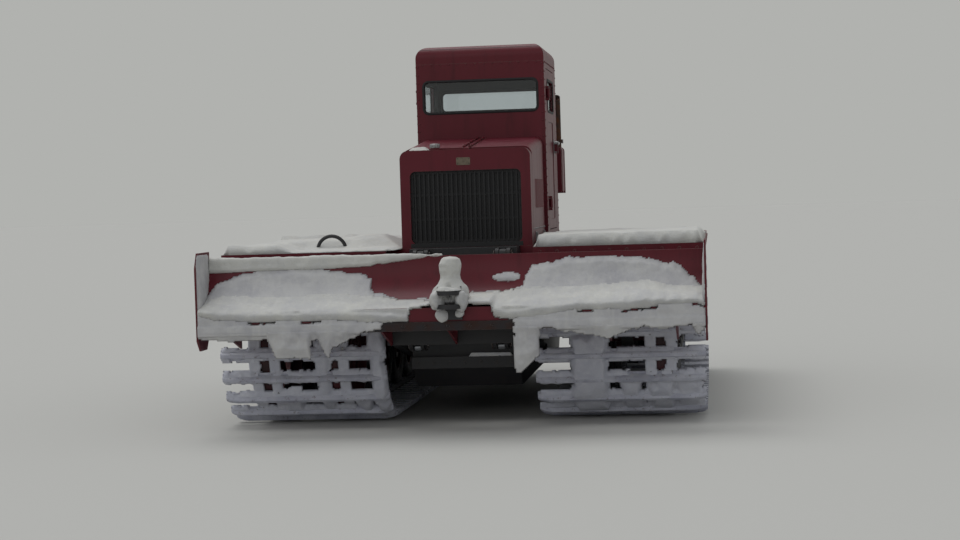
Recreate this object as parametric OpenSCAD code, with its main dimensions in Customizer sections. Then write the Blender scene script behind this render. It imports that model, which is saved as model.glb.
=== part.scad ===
// Tracked snow groomer with a front blade, a hooded engine and a narrow raised cab.
// Millimetres. The front is -Y, the machine's left is +X, and z = 0 is the ground.
// Stations are distances rearward from the blade's front face.

/* [Overall] */
// Distance that the tow jaw stands out ahead of the blade's front face
jaw_reach = 150; // [120:5:180]
// Distance from the hull's rear face to the rear hitch's last point
hitch_reach = 290; // [270:5:300]

/* [Tracks] */
// Width of a track, over its cross bars
track_w = 1170; // [1140:10:1180]
// Gap between the two tracks
track_gap = 1030; // [1020:5:1060]
// Station of the front idler's axle
idler_s = 1062; // [1050:2:1070]
// Height of the front idler's axle
idler_z = 548; // [546:1:556]
// Radius that the belts run on at the idler
idler_r = 470; // [450:5:470]
// Distance from the last road wheel's axle to the drive sprocket's
sprocket_gap = 660; // [650:5:680]
// Height of the drive sprocket's axle
sprocket_z = 600; // [590:5:620]
// Radius that the belts run on at the sprocket
sprocket_r = 400; // [390:5:405]
// Distance from the idler's axle to the first road wheel's
idler_gap = 743; // [738:1:746]
// Distance from one road wheel to the next
wheel_pitch = 585; // [582:1:586]
// Number of road wheel stations on each side
wheel_n = 4; // [4:1:4]
// Outer radius of a road wheel's tyre
wheel_r = 280; // [270:2:284]
// Width of a road wheel's tyre
tyre_w = 150; // [120:5:180]
// Height of a tyre's section, from its rim to its tread
tyre_h = 106; // [90:2:120]
// Distance between the middles of a track's two pairs of belts
pair_gap = 486; // [470:2:500]
// Distance that the belts and the running gear stand outward of the cross bars' middle
pair_shift = 33; // [20:1:40]
// Width of a belt
belt_w = 70; // [60:5:80]
// Gap between the two belts of a pair
belt_gap = 70; // [60:2:76]
// Thickness of a belt
belt_t = 12; // [10:1:14]
// Depth that a cross bar's foot is let into its belts
bar_sunk = 6; // [5:1:8]
// Distance from one cross bar to the next, before rounding to a whole number
bar_pitch = 167; // [160:1:190]
// Height of a cross bar above its belt
bar_h = 60; // [50:2:64]
// Width of a cross bar where it lies on the belt
bar_base = 78; // [60:2:90]
// Width of a cross bar at its tip
bar_tip = 34; // [20:2:40]

/* [Track frame] */
// Width of a track frame's beam
beam_w = 80; // [60:5:100]
// Height of a track frame's beam
beam_h = 170; // [150:5:180]
// Diameter of the cross tubes that carry the track frames
cross_d = 110; // [90:5:120]
// Diameter of a road wheel's axle
axle_d = 50; // [40:2:60]
// Diameter of the drive axle's housing
drive_d = 150; // [130:5:170]

/* [Chassis] */
// Width of the hull between the tracks
hull_w = 760; // [740:10:770]
// Station of the hull's front face
hull_s0 = 900; // [890:5:910]
// Distance from the drive sprocket's axle to the hull's rear face
hull_tail = 340; // [320:5:350]
// Height of the hull's belly
belly_z = 230; // [200:5:260]
// Height of the decks and of the hull's top
deck_z = 1215; // [1200:5:1230]
// Depth of a deck's side and end flanges
deck_flange = 65; // [50:5:75]
// Thickness of the deck and flange plates
deck_t = 8; // [6:1:12]
// Distance that a deck stands out beyond its track
deck_over = 5; // [0:5:15]
// Station of a deck's front edge
deck_s0 = 700; // [660:10:740]

/* [Hood and radiator] */
// Station of the radiator shell's front face
shell_s = 1150; // [1140:5:1160]
// Depth of the radiator shell
shell_l = 140; // [120:5:160]
// Width of the radiator shell and hood
shell_w = 940; // [920:5:950]
// Height of the radiator shell's top
shell_z = 1916; // [1900:4:1930]
// Width of the grille opening
grille_w = 800; // [760:5:820]
// Height of the grille opening's top edge
grille_top = 1765; // [1740:5:1780]
// Height of the hood's top at the cab
hood_z = 2020; // [2005:5:2030]
// Radius of the shell's and hood's upper corners
hood_r = 60; // [40:5:80]
// Thickness of a hood panel with its stiffeners
hood_t = 18; // [12:1:24]
// Number of louvres in each hood panel
louvre_n = 9; // [6:1:10]
// Distance from one louvre to the next
louvre_pitch = 62; // [50:1:64]
// Height of a louvre
louvre_h = 210; // [180:5:240]
// Width of the engine
engine_w = 500; // [460:10:540]
// Height of the engine above the deck
engine_h = 545; // [500:5:560]
// Gap between the engine and what stands ahead of it and behind it
engine_gap = 110; // [90:5:140]

/* [Cab] */
// Station of the cab's front face
cab_s = 2250; // [2245:1:2260]
// Length of the cab
cab_l = 1050; // [1040:5:1060]
// Width of the cab
cab_w = 990; // [980:5:1000]
// Height of the roof's top
roof_z = 2735; // [2720:5:2750]
// Height where the walls end and the roof begins
eave_z = 2600; // [2590:5:2610]
// Radius of the roof's edges
roof_r = 90; // [60:5:110]
// Thickness of the cab's walls and doors
wall_t = 30; // [26:1:34]
// Thickness of the cab's floor
floor_t = 40; // [30:5:50]
// Lower edge of the windscreen
screen_z0 = 2220; // [2200:5:2230]
// Upper edge of the windscreen
screen_z1 = 2465; // [2450:5:2480]
// Width of the windscreen
screen_w = 880; // [850:5:890]
// Lower edge of the rear window
back_z0 = 2270; // [2260:5:2280]
// Upper edge of the rear window
back_z1 = 2430; // [2420:5:2440]
// Radius of the windows' corners
window_r = 40; // [30:2:50]
// Thickness of the window glass
glass_t = 6; // [5:1:8]
// Station of a door opening's front edge
door_s0 = 2420; // [2400:5:2440]
// Length of a door opening
door_l = 660; // [640:5:680]
// Height of a door opening's sill
door_z0 = 1300; // [1290:5:1310]
// Height of a door opening's top
door_z1 = 2550; // [2540:5:2560]
// Length of the pane in a door
pane_l = 520; // [480:5:540]

/* [Seat and controls] */
// Width of the seat
seat_w = 800; // [740:10:840]
// Length of the seat's base
seat_l = 470; // [440:5:490]
// Distance from the cab's rear face to the seat's base
seat_in = 110; // [100:5:130]
// Height of the seat's base above the cab's floor
seat_h = 235; // [220:5:260]
// Thickness of the seat cushion
cushion_h = 110; // [90:5:130]
// Height of the seat's back above the seat's base
back_h = 520; // [480:5:560]
// Distance that the dashboard stands out from the cab's front wall
dash_l = 160; // [140:5:180]
// Height of the dashboard
dash_h = 150; // [130:5:170]
// Distance from the dashboard's top to the windscreen
dash_gap = 70; // [60:5:90]
// Height of the levers' knobs above the cab's floor
lever_h = 730; // [680:10:760]

/* [Rear] */
// Width of the locker behind the cab
locker_w = 800; // [760:10:840]
// Length of the locker
locker_l = 500; // [460:10:540]
// Height of the locker
locker_h = 365; // [340:5:380]
// Gap between the cab and the locker
locker_gap = 100; // [80:5:130]
// Width of the silencer's box
silencer_w = 420; // [400:5:430]
// Length of the silencer's box
silencer_l = 370; // [340:5:400]
// Height of the silencer's box
silencer_h = 380; // [360:5:400]
// Distance of the silencer's box from the machine's middle plane
silencer_in = 100; // [90:5:120]
// Height of the exhaust above the silencer's box
stack_h = 456; // [420:4:480]
// Diameter of the exhaust
stack_d = 72; // [64:2:80]

/* [Blade] */
// Width of the blade between its end plates
blade_w = 3380; // [3340:10:3400]
// Radius of the mouldboard's hollow
blade_r = 335; // [320:5:340]
// Height of the blade's upper lip
blade_top = 1185; // [1175:5:1195]
// Height of the blade's lower edge
blade_low = 700; // [690:5:710]
// Thickness of the mouldboard's plate
blade_t = 12; // [10:1:14]
// Thickness of the blade's end plates
end_t = 12; // [10:1:16]
// Height of the end plates' top
end_top = 1250; // [1240:5:1260]
// Height of the end plates' lowest point
end_low = 590; // [580:5:600]

/* [Lift] */
// Station of the push arms' pivot
pivot_s = 1760; // [1740:5:1780]
// Height of the push arms' pivot
pivot_z = 420; // [400:5:440]
// Distance of a push arm's middle from the machine's middle plane
arm_x = 448; // [446:1:450]
// Width of a push arm
arm_w = 60; // [50:2:64]
// Height of a push arm
arm_h = 120; // [100:5:140]
// Diameter of the push arms' pivot pins
pivot_d = 60; // [50:2:70]
// Station of the cross beam's middle
beam_s = 490; // [480:5:500]
// Height of the cross beam's middle
beam_z = 640; // [630:5:650]
// Size of the cross beam's square section
beam_a = 130; // [120:5:140]
// Station of the lift cylinders' upper pins
barrel_s = 835; // [825:5:845]
// Height of the lift cylinders' upper pins
barrel_z = 1172; // [1160:2:1174]
// Station of the lift cylinders' rod eyes
eye_s = 590; // [585:1:600]
// Height of the lift cylinders' rod eyes
eye_z = 550; // [540:5:560]
// Distance of a lift cylinder from the machine's middle plane
cyl_x = 290; // [270:5:310]
// Outer diameter of a cylinder's barrel
barrel_d = 84; // [76:2:90]
// Diameter of a cylinder's rod
rod_d = 40; // [36:1:42]
// Diameter of a cylinder's pins
pin_d = 32; // [28:2:36]
// Shortest distance between a cylinder's pins
cyl_min = 586; // [580:1:588]

/* [Clearances] */
// Gap between pieces that touch on the real machine
fit = 0.3; // [0.2:0.1:0.5]
// Running clearance round a pin, on the radius
run = 0.5; // [0.3:0.1:1]
// Play of a rod's eye round its pin, on the radius
eye_play = 3.4; // [3.2:0.1:4]
// Gap round a door or hood panel
gap = 6; // [5:1:8]

/* [Hidden] */

$fn = 48;
wheel1_s = idler_s + idler_gap;
wheel_last_s = wheel1_s + (wheel_n - 1) * wheel_pitch;
sprocket_s = wheel_last_s + sprocket_gap;
cross_s = [for (k = [0, wheel_n - 2]) wheel1_s + (k + 0.5) * wheel_pitch];
hull_s1 = sprocket_s + hull_tail;
rear_s = hull_s1 + hitch_reach;
mid_s = (rear_s - jaw_reach) / 2;
track_x0 = track_gap / 2;
track_x1 = track_x0 + track_w;
track_x = track_x0 + track_w / 2;
wheel_x = track_x + pair_shift;
pair_x = [wheel_x - pair_gap / 2, wheel_x + pair_gap / 2];
wheel_z = bar_h + belt_t + wheel_r;
hull_x = hull_w / 2;
shell_x = shell_w / 2;
cab_x = cab_w / 2;
cab_s1 = cab_s + cab_l;
hood_rise = atan2(hood_z - shell_z, cab_s - shell_s);
cab_z = deck_z + floor_t;
belt_sides = [-1, 1];

// Runs of the belt over its four turning points: station, height, radius of the belt's inside
turns = [
    [idler_s, idler_z, idler_r],
    [wheel1_s, wheel_z, wheel_r],
    [wheel_last_s, wheel_z, wheel_r],
    [sprocket_s, sprocket_z, sprocket_r],
];
turn_n = len(turns);

function turn(i) = turns[i % turn_n];
function span(i) = [turn(i + 1)[0] - turn(i)[0], turn(i + 1)[1] - turn(i)[1]];
function unit(a) = [cos(a), sin(a)];
function hub(i) = [turn(i)[0], turn(i)[1]];
// Direction, in degrees, in which the straight run after turn i faces outward
function facing(i) = atan2(span(i)[1], span(i)[0])
    - acos((turn(i)[2] - turn(i + 1)[2]) / norm(span(i)));
function sweep(i) = (facing(i) - facing(i + turn_n - 1) + 720) % 360;
function run_start(i, t) = hub(i) + (turn(i)[2] + t) * unit(facing(i));
function run_end(i, t) = hub(i + 1) + (turn(i + 1)[2] + t) * unit(facing(i));
function arc_len(i, t) = (turn(i)[2] + t) * sweep(i) * PI / 180;
function run_len(i) = norm(run_end(i, 0) - run_start(i, 0));
function before(i, t) = i <= 0 ? 0 : before(i - 1, t) + arc_len(i - 1, t) + run_len(i - 1);
// Place on the belt's outside at distance d: point and outward direction
function on_arc(i, d, t) =
    let (a = facing(i + turn_n - 1) + d / (turn(i)[2] + t) * 180 / PI)
    [hub(i) + (turn(i)[2] + t) * unit(a), a];
function on_run(i, d, t) =
    [run_start(i, t) + (run_end(i, t) - run_start(i, t)) * d / run_len(i), facing(i)];
function on_belt(d, t, i = 0) =
    i < turn_n - 1 && d >= before(i + 1, t) ? on_belt(d, t, i + 1) :
    d - before(i, t) < arc_len(i, t) ? on_arc(i, d - before(i, t), t) :
    on_run(i, d - before(i, t) - arc_len(i, t), t);
belt_len = before(turn_n, belt_t);
bar_n = round(belt_len / bar_pitch);
// Where each track stands in its turn, as a share of the pitch
shift_left = 0.03;
shift_right = 0.76;

// Everything is drawn at its station and height, then moved so that the middle is at y = 0
module placed() translate([0, -mid_s, 0]) children();

// A side view drawn as [station, height], made w wide from x
module side_plate(x, w) translate([x, 0, 0]) rotate([90, 0, 90]) linear_extrude(w) children();

// A front view drawn as [x, height], made l long from station s
module front_plate(s, l) translate([0, s + l, 0]) rotate([90, 0, 0]) linear_extrude(l) children();

module box(p, q) translate(p) cube([q[0] - p[0], q[1] - p[1], q[2] - p[2]]);

module cross_rod(x0, x1, s, z, d) translate([x0, s, z]) rotate([0, 90, 0]) cylinder(h = x1 - x0, d = d);

module rounded(x0, y0, x1, y1, r) {
    translate([x0 + r, y0])
        square([x1 - x0 - 2 * r, y1 - y0]);
    translate([x0, y0 + r])
        square([x1 - x0, y1 - y0 - 2 * r]);
    for (x = [x0 + r, x1 - r], y = [y0 + r, y1 - r])
        translate([x, y])
            circle(r);
}

// The shape inside a belt loop, grown outward by t
module loop_shape(t) {
    polygon([for (i = [0:turn_n - 1], k = [0, 1]) k == 0 ? run_start(i, t) : run_end(i, t)]);
    for (c = turns)
        translate([c[0], c[1]])
            circle(c[2] + t);
}

module bar_shape() polygon([
    [-bar_base / 2, -bar_sunk],
    [bar_base / 2, -bar_sunk],
    [bar_tip / 2, bar_h],
    [-bar_tip / 2, bar_h],
]);

module track_one(shift) {
    for (x = pair_x, b = belt_sides)
        side_plate(x + b * (belt_w + belt_gap) / 2 - belt_w / 2, belt_w)
            difference() {
                loop_shape(belt_t);
                loop_shape(0);
            }
    side_plate(track_x0, track_w)
        for (k = [0:bar_n - 1]) {
            at = on_belt((k + shift) * belt_len / bar_n, belt_t);
            translate(at[0])
                rotate(at[1] - 90)
                    bar_shape();
        }
}

module track_left() color("#8a8f9a") placed() track_one(shift_left);

module track_right() color("#8a8f9a") placed() mirror([1, 0, 0]) track_one(shift_right);

wheel_stations = [for (k = [0:wheel_n - 1]) wheel1_s + k * wheel_pitch];
rim_r = wheel_r - tyre_h;
rim_wall = 14;
web_t = 24;
hub_d = 130;
hub_l = 120;
tyre_shoulder = 26;

module tyre_one() {
    tread_r = wheel_r - fit;
    rotate([0, 90, 0])
        rotate_extrude()
            polygon([
                [rim_r + fit, -tyre_w / 2],
                [tread_r - tyre_shoulder, -tyre_w / 2],
                [tread_r, tyre_shoulder - tyre_w / 2],
                [tread_r, tyre_w / 2 - tyre_shoulder],
                [tread_r - tyre_shoulder, tyre_w / 2],
                [rim_r + fit, tyre_w / 2],
            ]);
}

module tyres_one() {
    for (s = wheel_stations, x = pair_x)
        translate([x, s, wheel_z])
            tyre_one();
}

module tyres_left() color("#1c1c1e") placed() tyres_one();

module tyres_right() color("#1c1c1e") placed() mirror([1, 0, 0]) tyres_one();

axle_end = pair_gap / 2 + 90;

module rim_one(x) {
    translate([x, 0, 0])
        rotate([0, 90, 0])
            difference() {
                cylinder(h = tyre_w - 20, r = rim_r, center = true);
                for (z = [web_t / 2, -tyre_w - web_t / 2])
                    translate([0, 0, z])
                        cylinder(h = tyre_w, r = rim_r - rim_wall);
            }
}

module road_wheels_one() {
    for (s = wheel_stations)
        translate([0, s, wheel_z]) {
            for (x = pair_x)
                rim_one(x);
            for (x = pair_x)
                cross_rod(x - hub_l / 2, x + hub_l / 2, 0, 0, hub_d);
            cross_rod(wheel_x - axle_end, wheel_x + axle_end, 0, 0, axle_d);
        }
}

idler_wall = 30;
idler_hub_d = 150;
idler_hole_r = 89;

module idler_one() {
    for (x = pair_x)
        translate([x, idler_s, idler_z])
            rotate([0, 90, 0])
                difference() {
                    cylinder(h = tyre_w, r = idler_r - fit, center = true, $fn = 72);
                    for (z = [web_t / 2, -tyre_w - web_t / 2])
                        translate([0, 0, z])
                            cylinder(h = tyre_w, r = idler_r - idler_wall, $fn = 72);
                    for (a = [0:60:300])
                        rotate([0, 0, a])
                            translate([(idler_r - idler_wall + idler_hub_d / 2) / 2, 0, -tyre_w])
                                cylinder(h = tyre_w * 2, r = idler_hole_r);
                }
    for (x = pair_x)
        cross_rod(x - hub_l / 2, x + hub_l / 2, idler_s, idler_z, idler_hub_d);
    cross_rod(wheel_x - axle_end, wheel_x + axle_end, idler_s, idler_z, axle_d);
}

module wheels_one() {
    road_wheels_one();
    idler_one();
}

module road_wheels_left() color("#7a1a22") placed() wheels_one();

module road_wheels_right() color("#7a1a22") placed() mirror([1, 0, 0]) wheels_one();

sprocket_teeth = 22;
sprocket_t = 36;
notch_r = 32;
notch_out = 8;
sprocket_hole_r = 68;

module sprocket_one() {
    for (x = pair_x)
        translate([x, sprocket_s, sprocket_z])
            rotate([0, 90, 0])
                difference() {
                    cylinder(h = sprocket_t, r = sprocket_r - fit, center = true, $fn = 72);
                    for (k = [0:sprocket_teeth - 1])
                        rotate([0, 0, k * 360 / sprocket_teeth])
                            translate([sprocket_r + notch_out, 0, 0])
                                cylinder(h = 2 * sprocket_t, r = notch_r, center = true);
                    for (a = [0:60:300])
                        rotate([0, 0, a])
                            translate([(sprocket_r + drive_d / 2 - notch_r) / 2, 0, 0])
                                cylinder(h = 2 * sprocket_t, r = sprocket_hole_r, center = true);
                }
    cross_rod(hull_x + fit, wheel_x + axle_end, sprocket_s, sprocket_z, drive_d);
}

module sprocket_left() color("#26262a") placed() sprocket_one();

module sprocket_right() color("#26262a") placed() mirror([1, 0, 0]) sprocket_one();

hanger_w = 100;
beam_mid_z = sprocket_z;

module track_frame_one() {
    side_plate(wheel_x - beam_w / 2, beam_w)
        difference() {
            union() {
                translate([idler_s, beam_mid_z - beam_h / 2])
                    square([sprocket_s - idler_s, beam_h]);
                translate([idler_s, idler_z])
                    circle(90);
                translate([sprocket_s, sprocket_z])
                    circle(drive_d / 2 + 30);
                for (s = wheel_stations) {
                    translate([s - hanger_w / 2, wheel_z])
                        square([hanger_w, beam_mid_z - wheel_z]);
                    translate([s, wheel_z])
                        circle(hanger_w / 2);
                }
            }
            translate([idler_s, idler_z])
                circle(axle_d / 2 + fit);
            translate([sprocket_s, sprocket_z])
                circle(drive_d / 2 + fit);
            for (s = cross_s)
                translate([s, beam_mid_z])
                    circle(cross_d / 2 + fit);
            for (s = wheel_stations)
                translate([s, wheel_z])
                    circle(axle_d / 2 + fit);
        }
}

module track_frame_left() color("#26262a") placed() track_frame_one();

module track_frame_right() color("#26262a") placed() mirror([1, 0, 0]) track_frame_one();

module cross_tubes() color("#26262a") placed() {
    for (s = cross_s)
        cross_rod(-wheel_x - beam_w / 2 - 20, wheel_x + beam_w / 2 + 20, s, beam_mid_z, cross_d);
}

bumper_z = 455;
bumper_h = 80;
bumper_l = 60;
tube_flange = 30;
flange_x = hull_x + 12;
nose_l = 160;
pin_l = 120;
lug_w = 24;
lug_gap = 56;
lug_r = pin_d / 2 + 22;

module chassis_hull() color("#202024") placed() {
    difference() {
        union() {
            side_plate(-hull_x, hull_w)
                polygon([
                    [hull_s0, bumper_z - bumper_h],
                    [hull_s0 + nose_l, belly_z],
                    [hull_s1 - nose_l, belly_z],
                    [hull_s1, bumper_z - bumper_h],
                    [hull_s1, deck_z],
                    [hull_s0, deck_z],
                ]);
            box([-hull_x, hull_s0 - bumper_l, bumper_z - bumper_h], [hull_x, hull_s0 + 20, bumper_z]);
            for (s = cross_s)
                cross_rod(-flange_x, flange_x, s, beam_mid_z, cross_d + 2 * tube_flange);
            for (x = [-cyl_x, cyl_x], k = [-1, 1])
                side_plate(x + k * (lug_gap + lug_w) / 2 - lug_w / 2, lug_w)
                    union() {
                        translate([barrel_s, barrel_z])
                            circle(lug_r);
                        translate([barrel_s, barrel_z - lug_r])
                            square([hull_s0 + 10 - barrel_s, 2 * lug_r]);
                    }
            for (x = [-cyl_x, cyl_x])
                cross_rod(x - pin_l / 2, x + pin_l / 2, barrel_s, barrel_z, pin_d);
            for (k = [0, 1])
                mirror([k, 0, 0]) {
                    cross_rod(hull_x - 10, arm_x - arm_w / 2 - gap, pivot_s, pivot_z, pivot_d + 60);
                    cross_rod(hull_x - 10, arm_x + arm_w / 2 + 10, pivot_s, pivot_z, pivot_d);
                }
        }
        for (s = cross_s)
            cross_rod(-flange_x - 10, flange_x + 10, s, beam_mid_z, cross_d + 2 * fit);
    }
}

deck_x1 = track_x1 + deck_over;

module deck_one() {
    difference() {
        box([hull_x + fit, deck_s0, deck_z - deck_flange], [deck_x1, hull_s1, deck_z]);
        box([hull_x - 20, deck_s0 + deck_t, deck_z - deck_flange - 1],
            [deck_x1 - deck_t, hull_s1 - deck_t, deck_z - deck_t]);
        box([hull_x - 20, deck_s0 - 20, deck_z - deck_flange - 1],
            [track_x0, shell_s, deck_z + 20]);
    }
    for (s = [shell_s, cab_s, cab_s1, hull_s1 - 2 * deck_t])
        box([hull_x + fit, s, deck_z - deck_flange],
            [deck_x1 - deck_t / 2, s + deck_t, deck_z - deck_t / 2]);
}

module deck_left() color("#5a1a22") placed() deck_one();

module deck_right() color("#5a1a22") placed() mirror([1, 0, 0]) deck_one();

grille_low = deck_z + 30;
grille_rim = 22;
cap_x = -220;
cap_r = 32;
cap_h = 45;

module shell_shape(grow) {
    rounded(-shell_x - grow, deck_z - 2 * hood_r, shell_x + grow, shell_z + grow, hood_r);
}

module radiator_shell() color("#7d1820") placed() {
    hood_spine();
    front_plate(shell_s, shell_l)
        difference() {
            intersection() {
                shell_shape(0);
                translate([-shell_x, deck_z])
                    square([shell_w, shell_z]);
            }
            rounded(-grille_w / 2, grille_low, grille_w / 2, grille_top, window_r);
        }
    translate([cap_x, shell_s + shell_l / 2, shell_z - 5])
        cylinder(h = cap_h, r = cap_r);
}

bar_count = 24;
core_in = 15;

module radiator_grille() color("#18181a") placed() {
    front_plate(shell_s + 30, 12)
        difference() {
            rounded(-grille_w / 2 + fit, grille_low + fit, grille_w / 2 - fit, grille_top - fit, window_r);
            rounded(-grille_w / 2 + grille_rim, grille_low + grille_rim, grille_w / 2 - grille_rim,
                grille_top - grille_rim, window_r / 2);
        }
    for (k = [1:bar_count - 1])
        box([-grille_w / 2 + k * grille_w / bar_count - 5, shell_s + 24, grille_low + 10],
            [-grille_w / 2 + k * grille_w / bar_count + 5, shell_s + 42, grille_top - 10]);
    for (z = [0.33, 0.67])
        box([-grille_w / 2 + 10, shell_s + 34, grille_low + z * (grille_top - grille_low) - 8],
            [grille_w / 2 - 10, shell_s + 46, grille_low + z * (grille_top - grille_low) + 8]);
    front_plate(shell_s + 41, shell_l - 51)
        rounded(-grille_w / 2 + core_in, grille_low + fit,
            grille_w / 2 - core_in, grille_top - core_in, window_r);
}

module engine_block() color("#55585e") placed() {
    box([-engine_w / 2, shell_s + shell_l + engine_gap, deck_z],
        [engine_w / 2, cab_s - engine_gap, deck_z + engine_h]);
}

// Frame of reference along the sloping top of the hood, at the radiator shell
module on_hood() translate([0, shell_s, shell_z]) rotate([hood_rise, 0, 0]) children();

spine_w = 44;
spine_lap = 30;
knuckle_r = 8;
hinge_r = 4;
hood_s0 = shell_s + shell_l + gap + 4;
hood_len = (cab_s - hood_s0) / cos(hood_rise);
hinge_x = spine_w / 2 + gap / 2;
knuckles = [0.1, 0.45, 0.8];
knuckle_l = 110;
lug_l = 26;
hood_y0 = (shell_l + gap) / cos(hood_rise);

module hood_spine() {
    difference() {
        on_hood() {
            translate([-spine_w / 2, shell_l - spine_lap, -hood_t])
                cube([spine_w, hood_len + gap + spine_lap, hood_t]);
            for (k = [-1, 1]) {
                translate([k * hinge_x, hood_y0 + 20, knuckle_r])
                    rotate([-90, 0, 0])
                        cylinder(h = hood_len - 60, r = hinge_r);
                for (f = [0.02, 0.28, 0.63, 0.93]) {
                    translate([k * (spine_w / 2 - 6) - 6, hood_y0 + f * hood_len, -1])
                        cube([12, lug_l, knuckle_r + 7]);
                    translate([k * (hinge_x - 4) - 8, hood_y0 + f * hood_len, 2])
                        cube([16, lug_l, knuckle_r + 4]);
                }
            }
        }
        box([-100, shell_s - 50, shell_z - 300], [100, shell_s + shell_l - spine_lap, hood_z + 300]);
        box([-100, cab_s - fit, shell_z - 300], [100, cab_s + 200, hood_z + 300]);
    }
}

hood_low = deck_z + 15;
louvre_out = 11;
louvre_l = 40;
louvre_s0 = (hood_s0 + cab_s - (louvre_n - 1) * louvre_pitch - louvre_l) / 2;
louvre_z = 1480;

// Pressed louvres, each a wedge that opens rearward
module louvres() {
    for (k = [0:louvre_n - 1])
        translate([shell_x, louvre_s0 + k * louvre_pitch, louvre_z])
            linear_extrude(louvre_h)
                polygon([
                    [-hood_t / 2, 0],
                    [0, 0],
                    [louvre_out, louvre_l - 8],
                    [louvre_out, louvre_l],
                    [-hood_t / 2, louvre_l],
                ]);
}

module hood_section(x0, grow) {
    intersection() {
        rounded(-shell_x + grow, -1400, shell_x - grow, -grow, hood_r - grow);
        translate([x0, -1400])
            square([shell_x, 1400]);
    }
}

module hood_one() {
    louvres();
    difference() {
        on_hood()
            translate([0, hood_len + shell_l * 2, 0])
                rotate([90, 0, 0])
                    linear_extrude(hood_len + shell_l * 2)
                        difference() {
                            hood_section(spine_w / 2 + gap, 0);
                            hood_section(-1, hood_t);
                        }
        box([-10, shell_s - 500, 0], [shell_x + 50, hood_s0, 3000]);
        box([-10, cab_s - gap, 0], [shell_x + 50, cab_s + 900, 3000]);
        box([-10, shell_s - 500, 0], [shell_x + 50, cab_s + 900, hood_low]);
    }
    on_hood()
        for (f = knuckles)
            difference() {
                union() {
                    translate([hinge_x, hood_y0 + f * hood_len, knuckle_r])
                        rotate([-90, 0, 0])
                            cylinder(h = knuckle_l, r = knuckle_r);
                    translate([hinge_x + 2, hood_y0 + f * hood_len, -hood_t / 2])
                        cube([20, knuckle_l, hood_t / 2 + 3]);
                }
                translate([hinge_x, hood_y0 + f * hood_len - 1, knuckle_r])
                    rotate([-90, 0, 0])
                        cylinder(h = knuckle_l + 2, r = hinge_r + run);
            }
}

module hood_left() color("#8a1c26") placed() hood_one();

module hood_right() color("#8a1c26") placed() mirror([1, 0, 0]) hood_one();

module cab_floor() color("#26262a") placed() {
    box([-cab_x, cab_s, deck_z], [cab_x, cab_s1, cab_z]);
    box([-seat_w / 2, seat_s0, cab_z - 1], [seat_w / 2, seat_s1, seat_z]);
}

module cab_front() color("#7d1820") placed() {
    front_plate(cab_s, wall_t)
        difference() {
            translate([-cab_x, cab_z])
                square([cab_w, eave_z - cab_z]);
            rounded(-screen_w / 2, screen_z0, screen_w / 2, screen_z1, window_r);
        }
}

module cab_rear() color("#7d1820") placed() {
    front_plate(cab_s1 - wall_t, wall_t)
        difference() {
            translate([-cab_x, cab_z])
                square([cab_w, eave_z - cab_z]);
            rounded(-screen_w / 2, back_z0, screen_w / 2, back_z1, window_r);
        }
}

pin_out = 14;
door_pin_d = 12;
door_knuckle_d = 26;
door_hinges = [door_z0 + 150, door_z1 - 250];
door_knuckle_h = 70;

module cab_side() {
    side_plate(cab_x - wall_t, wall_t)
        difference() {
            translate([cab_s + wall_t, cab_z])
                square([cab_l - 2 * wall_t, eave_z - cab_z]);
            translate([door_s0, door_z0])
                square([door_l, door_z1 - door_z0]);
        }
    for (z = door_hinges) {
        for (k = [0, 1])
            translate([0, 0, z + k * (door_knuckle_h + 22)])
                linear_extrude(18) {
                    translate([cab_x - 5, door_s0 - 34])
                        square([pin_out + 16, 33]);
                    translate([cab_x + pin_out, door_s0])
                        circle(11);
                }
        translate([cab_x + pin_out, door_s0, z])
            cylinder(h = door_knuckle_h + 40, d = door_pin_d);
    }
}

module cab_left() color("#7d1820") placed() cab_side();

module cab_right() color("#7d1820") placed() mirror([1, 0, 0]) cab_side();

module roof_form(grow) {
    intersection() {
        front_plate(cab_s + grow, cab_l - 2 * grow)
            rounded(-cab_x + grow, eave_z - 400, cab_x - grow, roof_z - grow, roof_r - grow);
        side_plate(-cab_x + grow, cab_w - 2 * grow)
            rounded(cab_s + grow, eave_z - 400, cab_s1 - grow, roof_z - grow, roof_r - grow);
    }
}

module cab_roof() color("#8a1c26") placed() {
    difference() {
        roof_form(0);
        roof_form(wall_t);
        box([-cab_x - 10, cab_s - 10, eave_z - 500], [cab_x + 10, cab_s1 + 10, eave_z]);
    }
}

module cab_glass() color([0.6, 0.7, 0.75, 0.5]) placed() {
    front_plate(cab_s + wall_t / 2 - glass_t / 2, glass_t)
        rounded(-screen_w / 2 + fit, screen_z0 + fit, screen_w / 2 - fit, screen_z1 - fit, window_r);
    front_plate(cab_s1 - wall_t / 2 - glass_t / 2, glass_t)
        rounded(-screen_w / 2 + fit, back_z0 + fit, screen_w / 2 - fit, back_z1 - fit, window_r);
}

pane_s0 = door_s0 + (door_l - pane_l) / 2;
pane_s1 = pane_s0 + pane_l;
press_in = 5;
press_rim = 80;
handle_s = door_s0 + door_l - 90;
handle_z = 1900;

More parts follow.
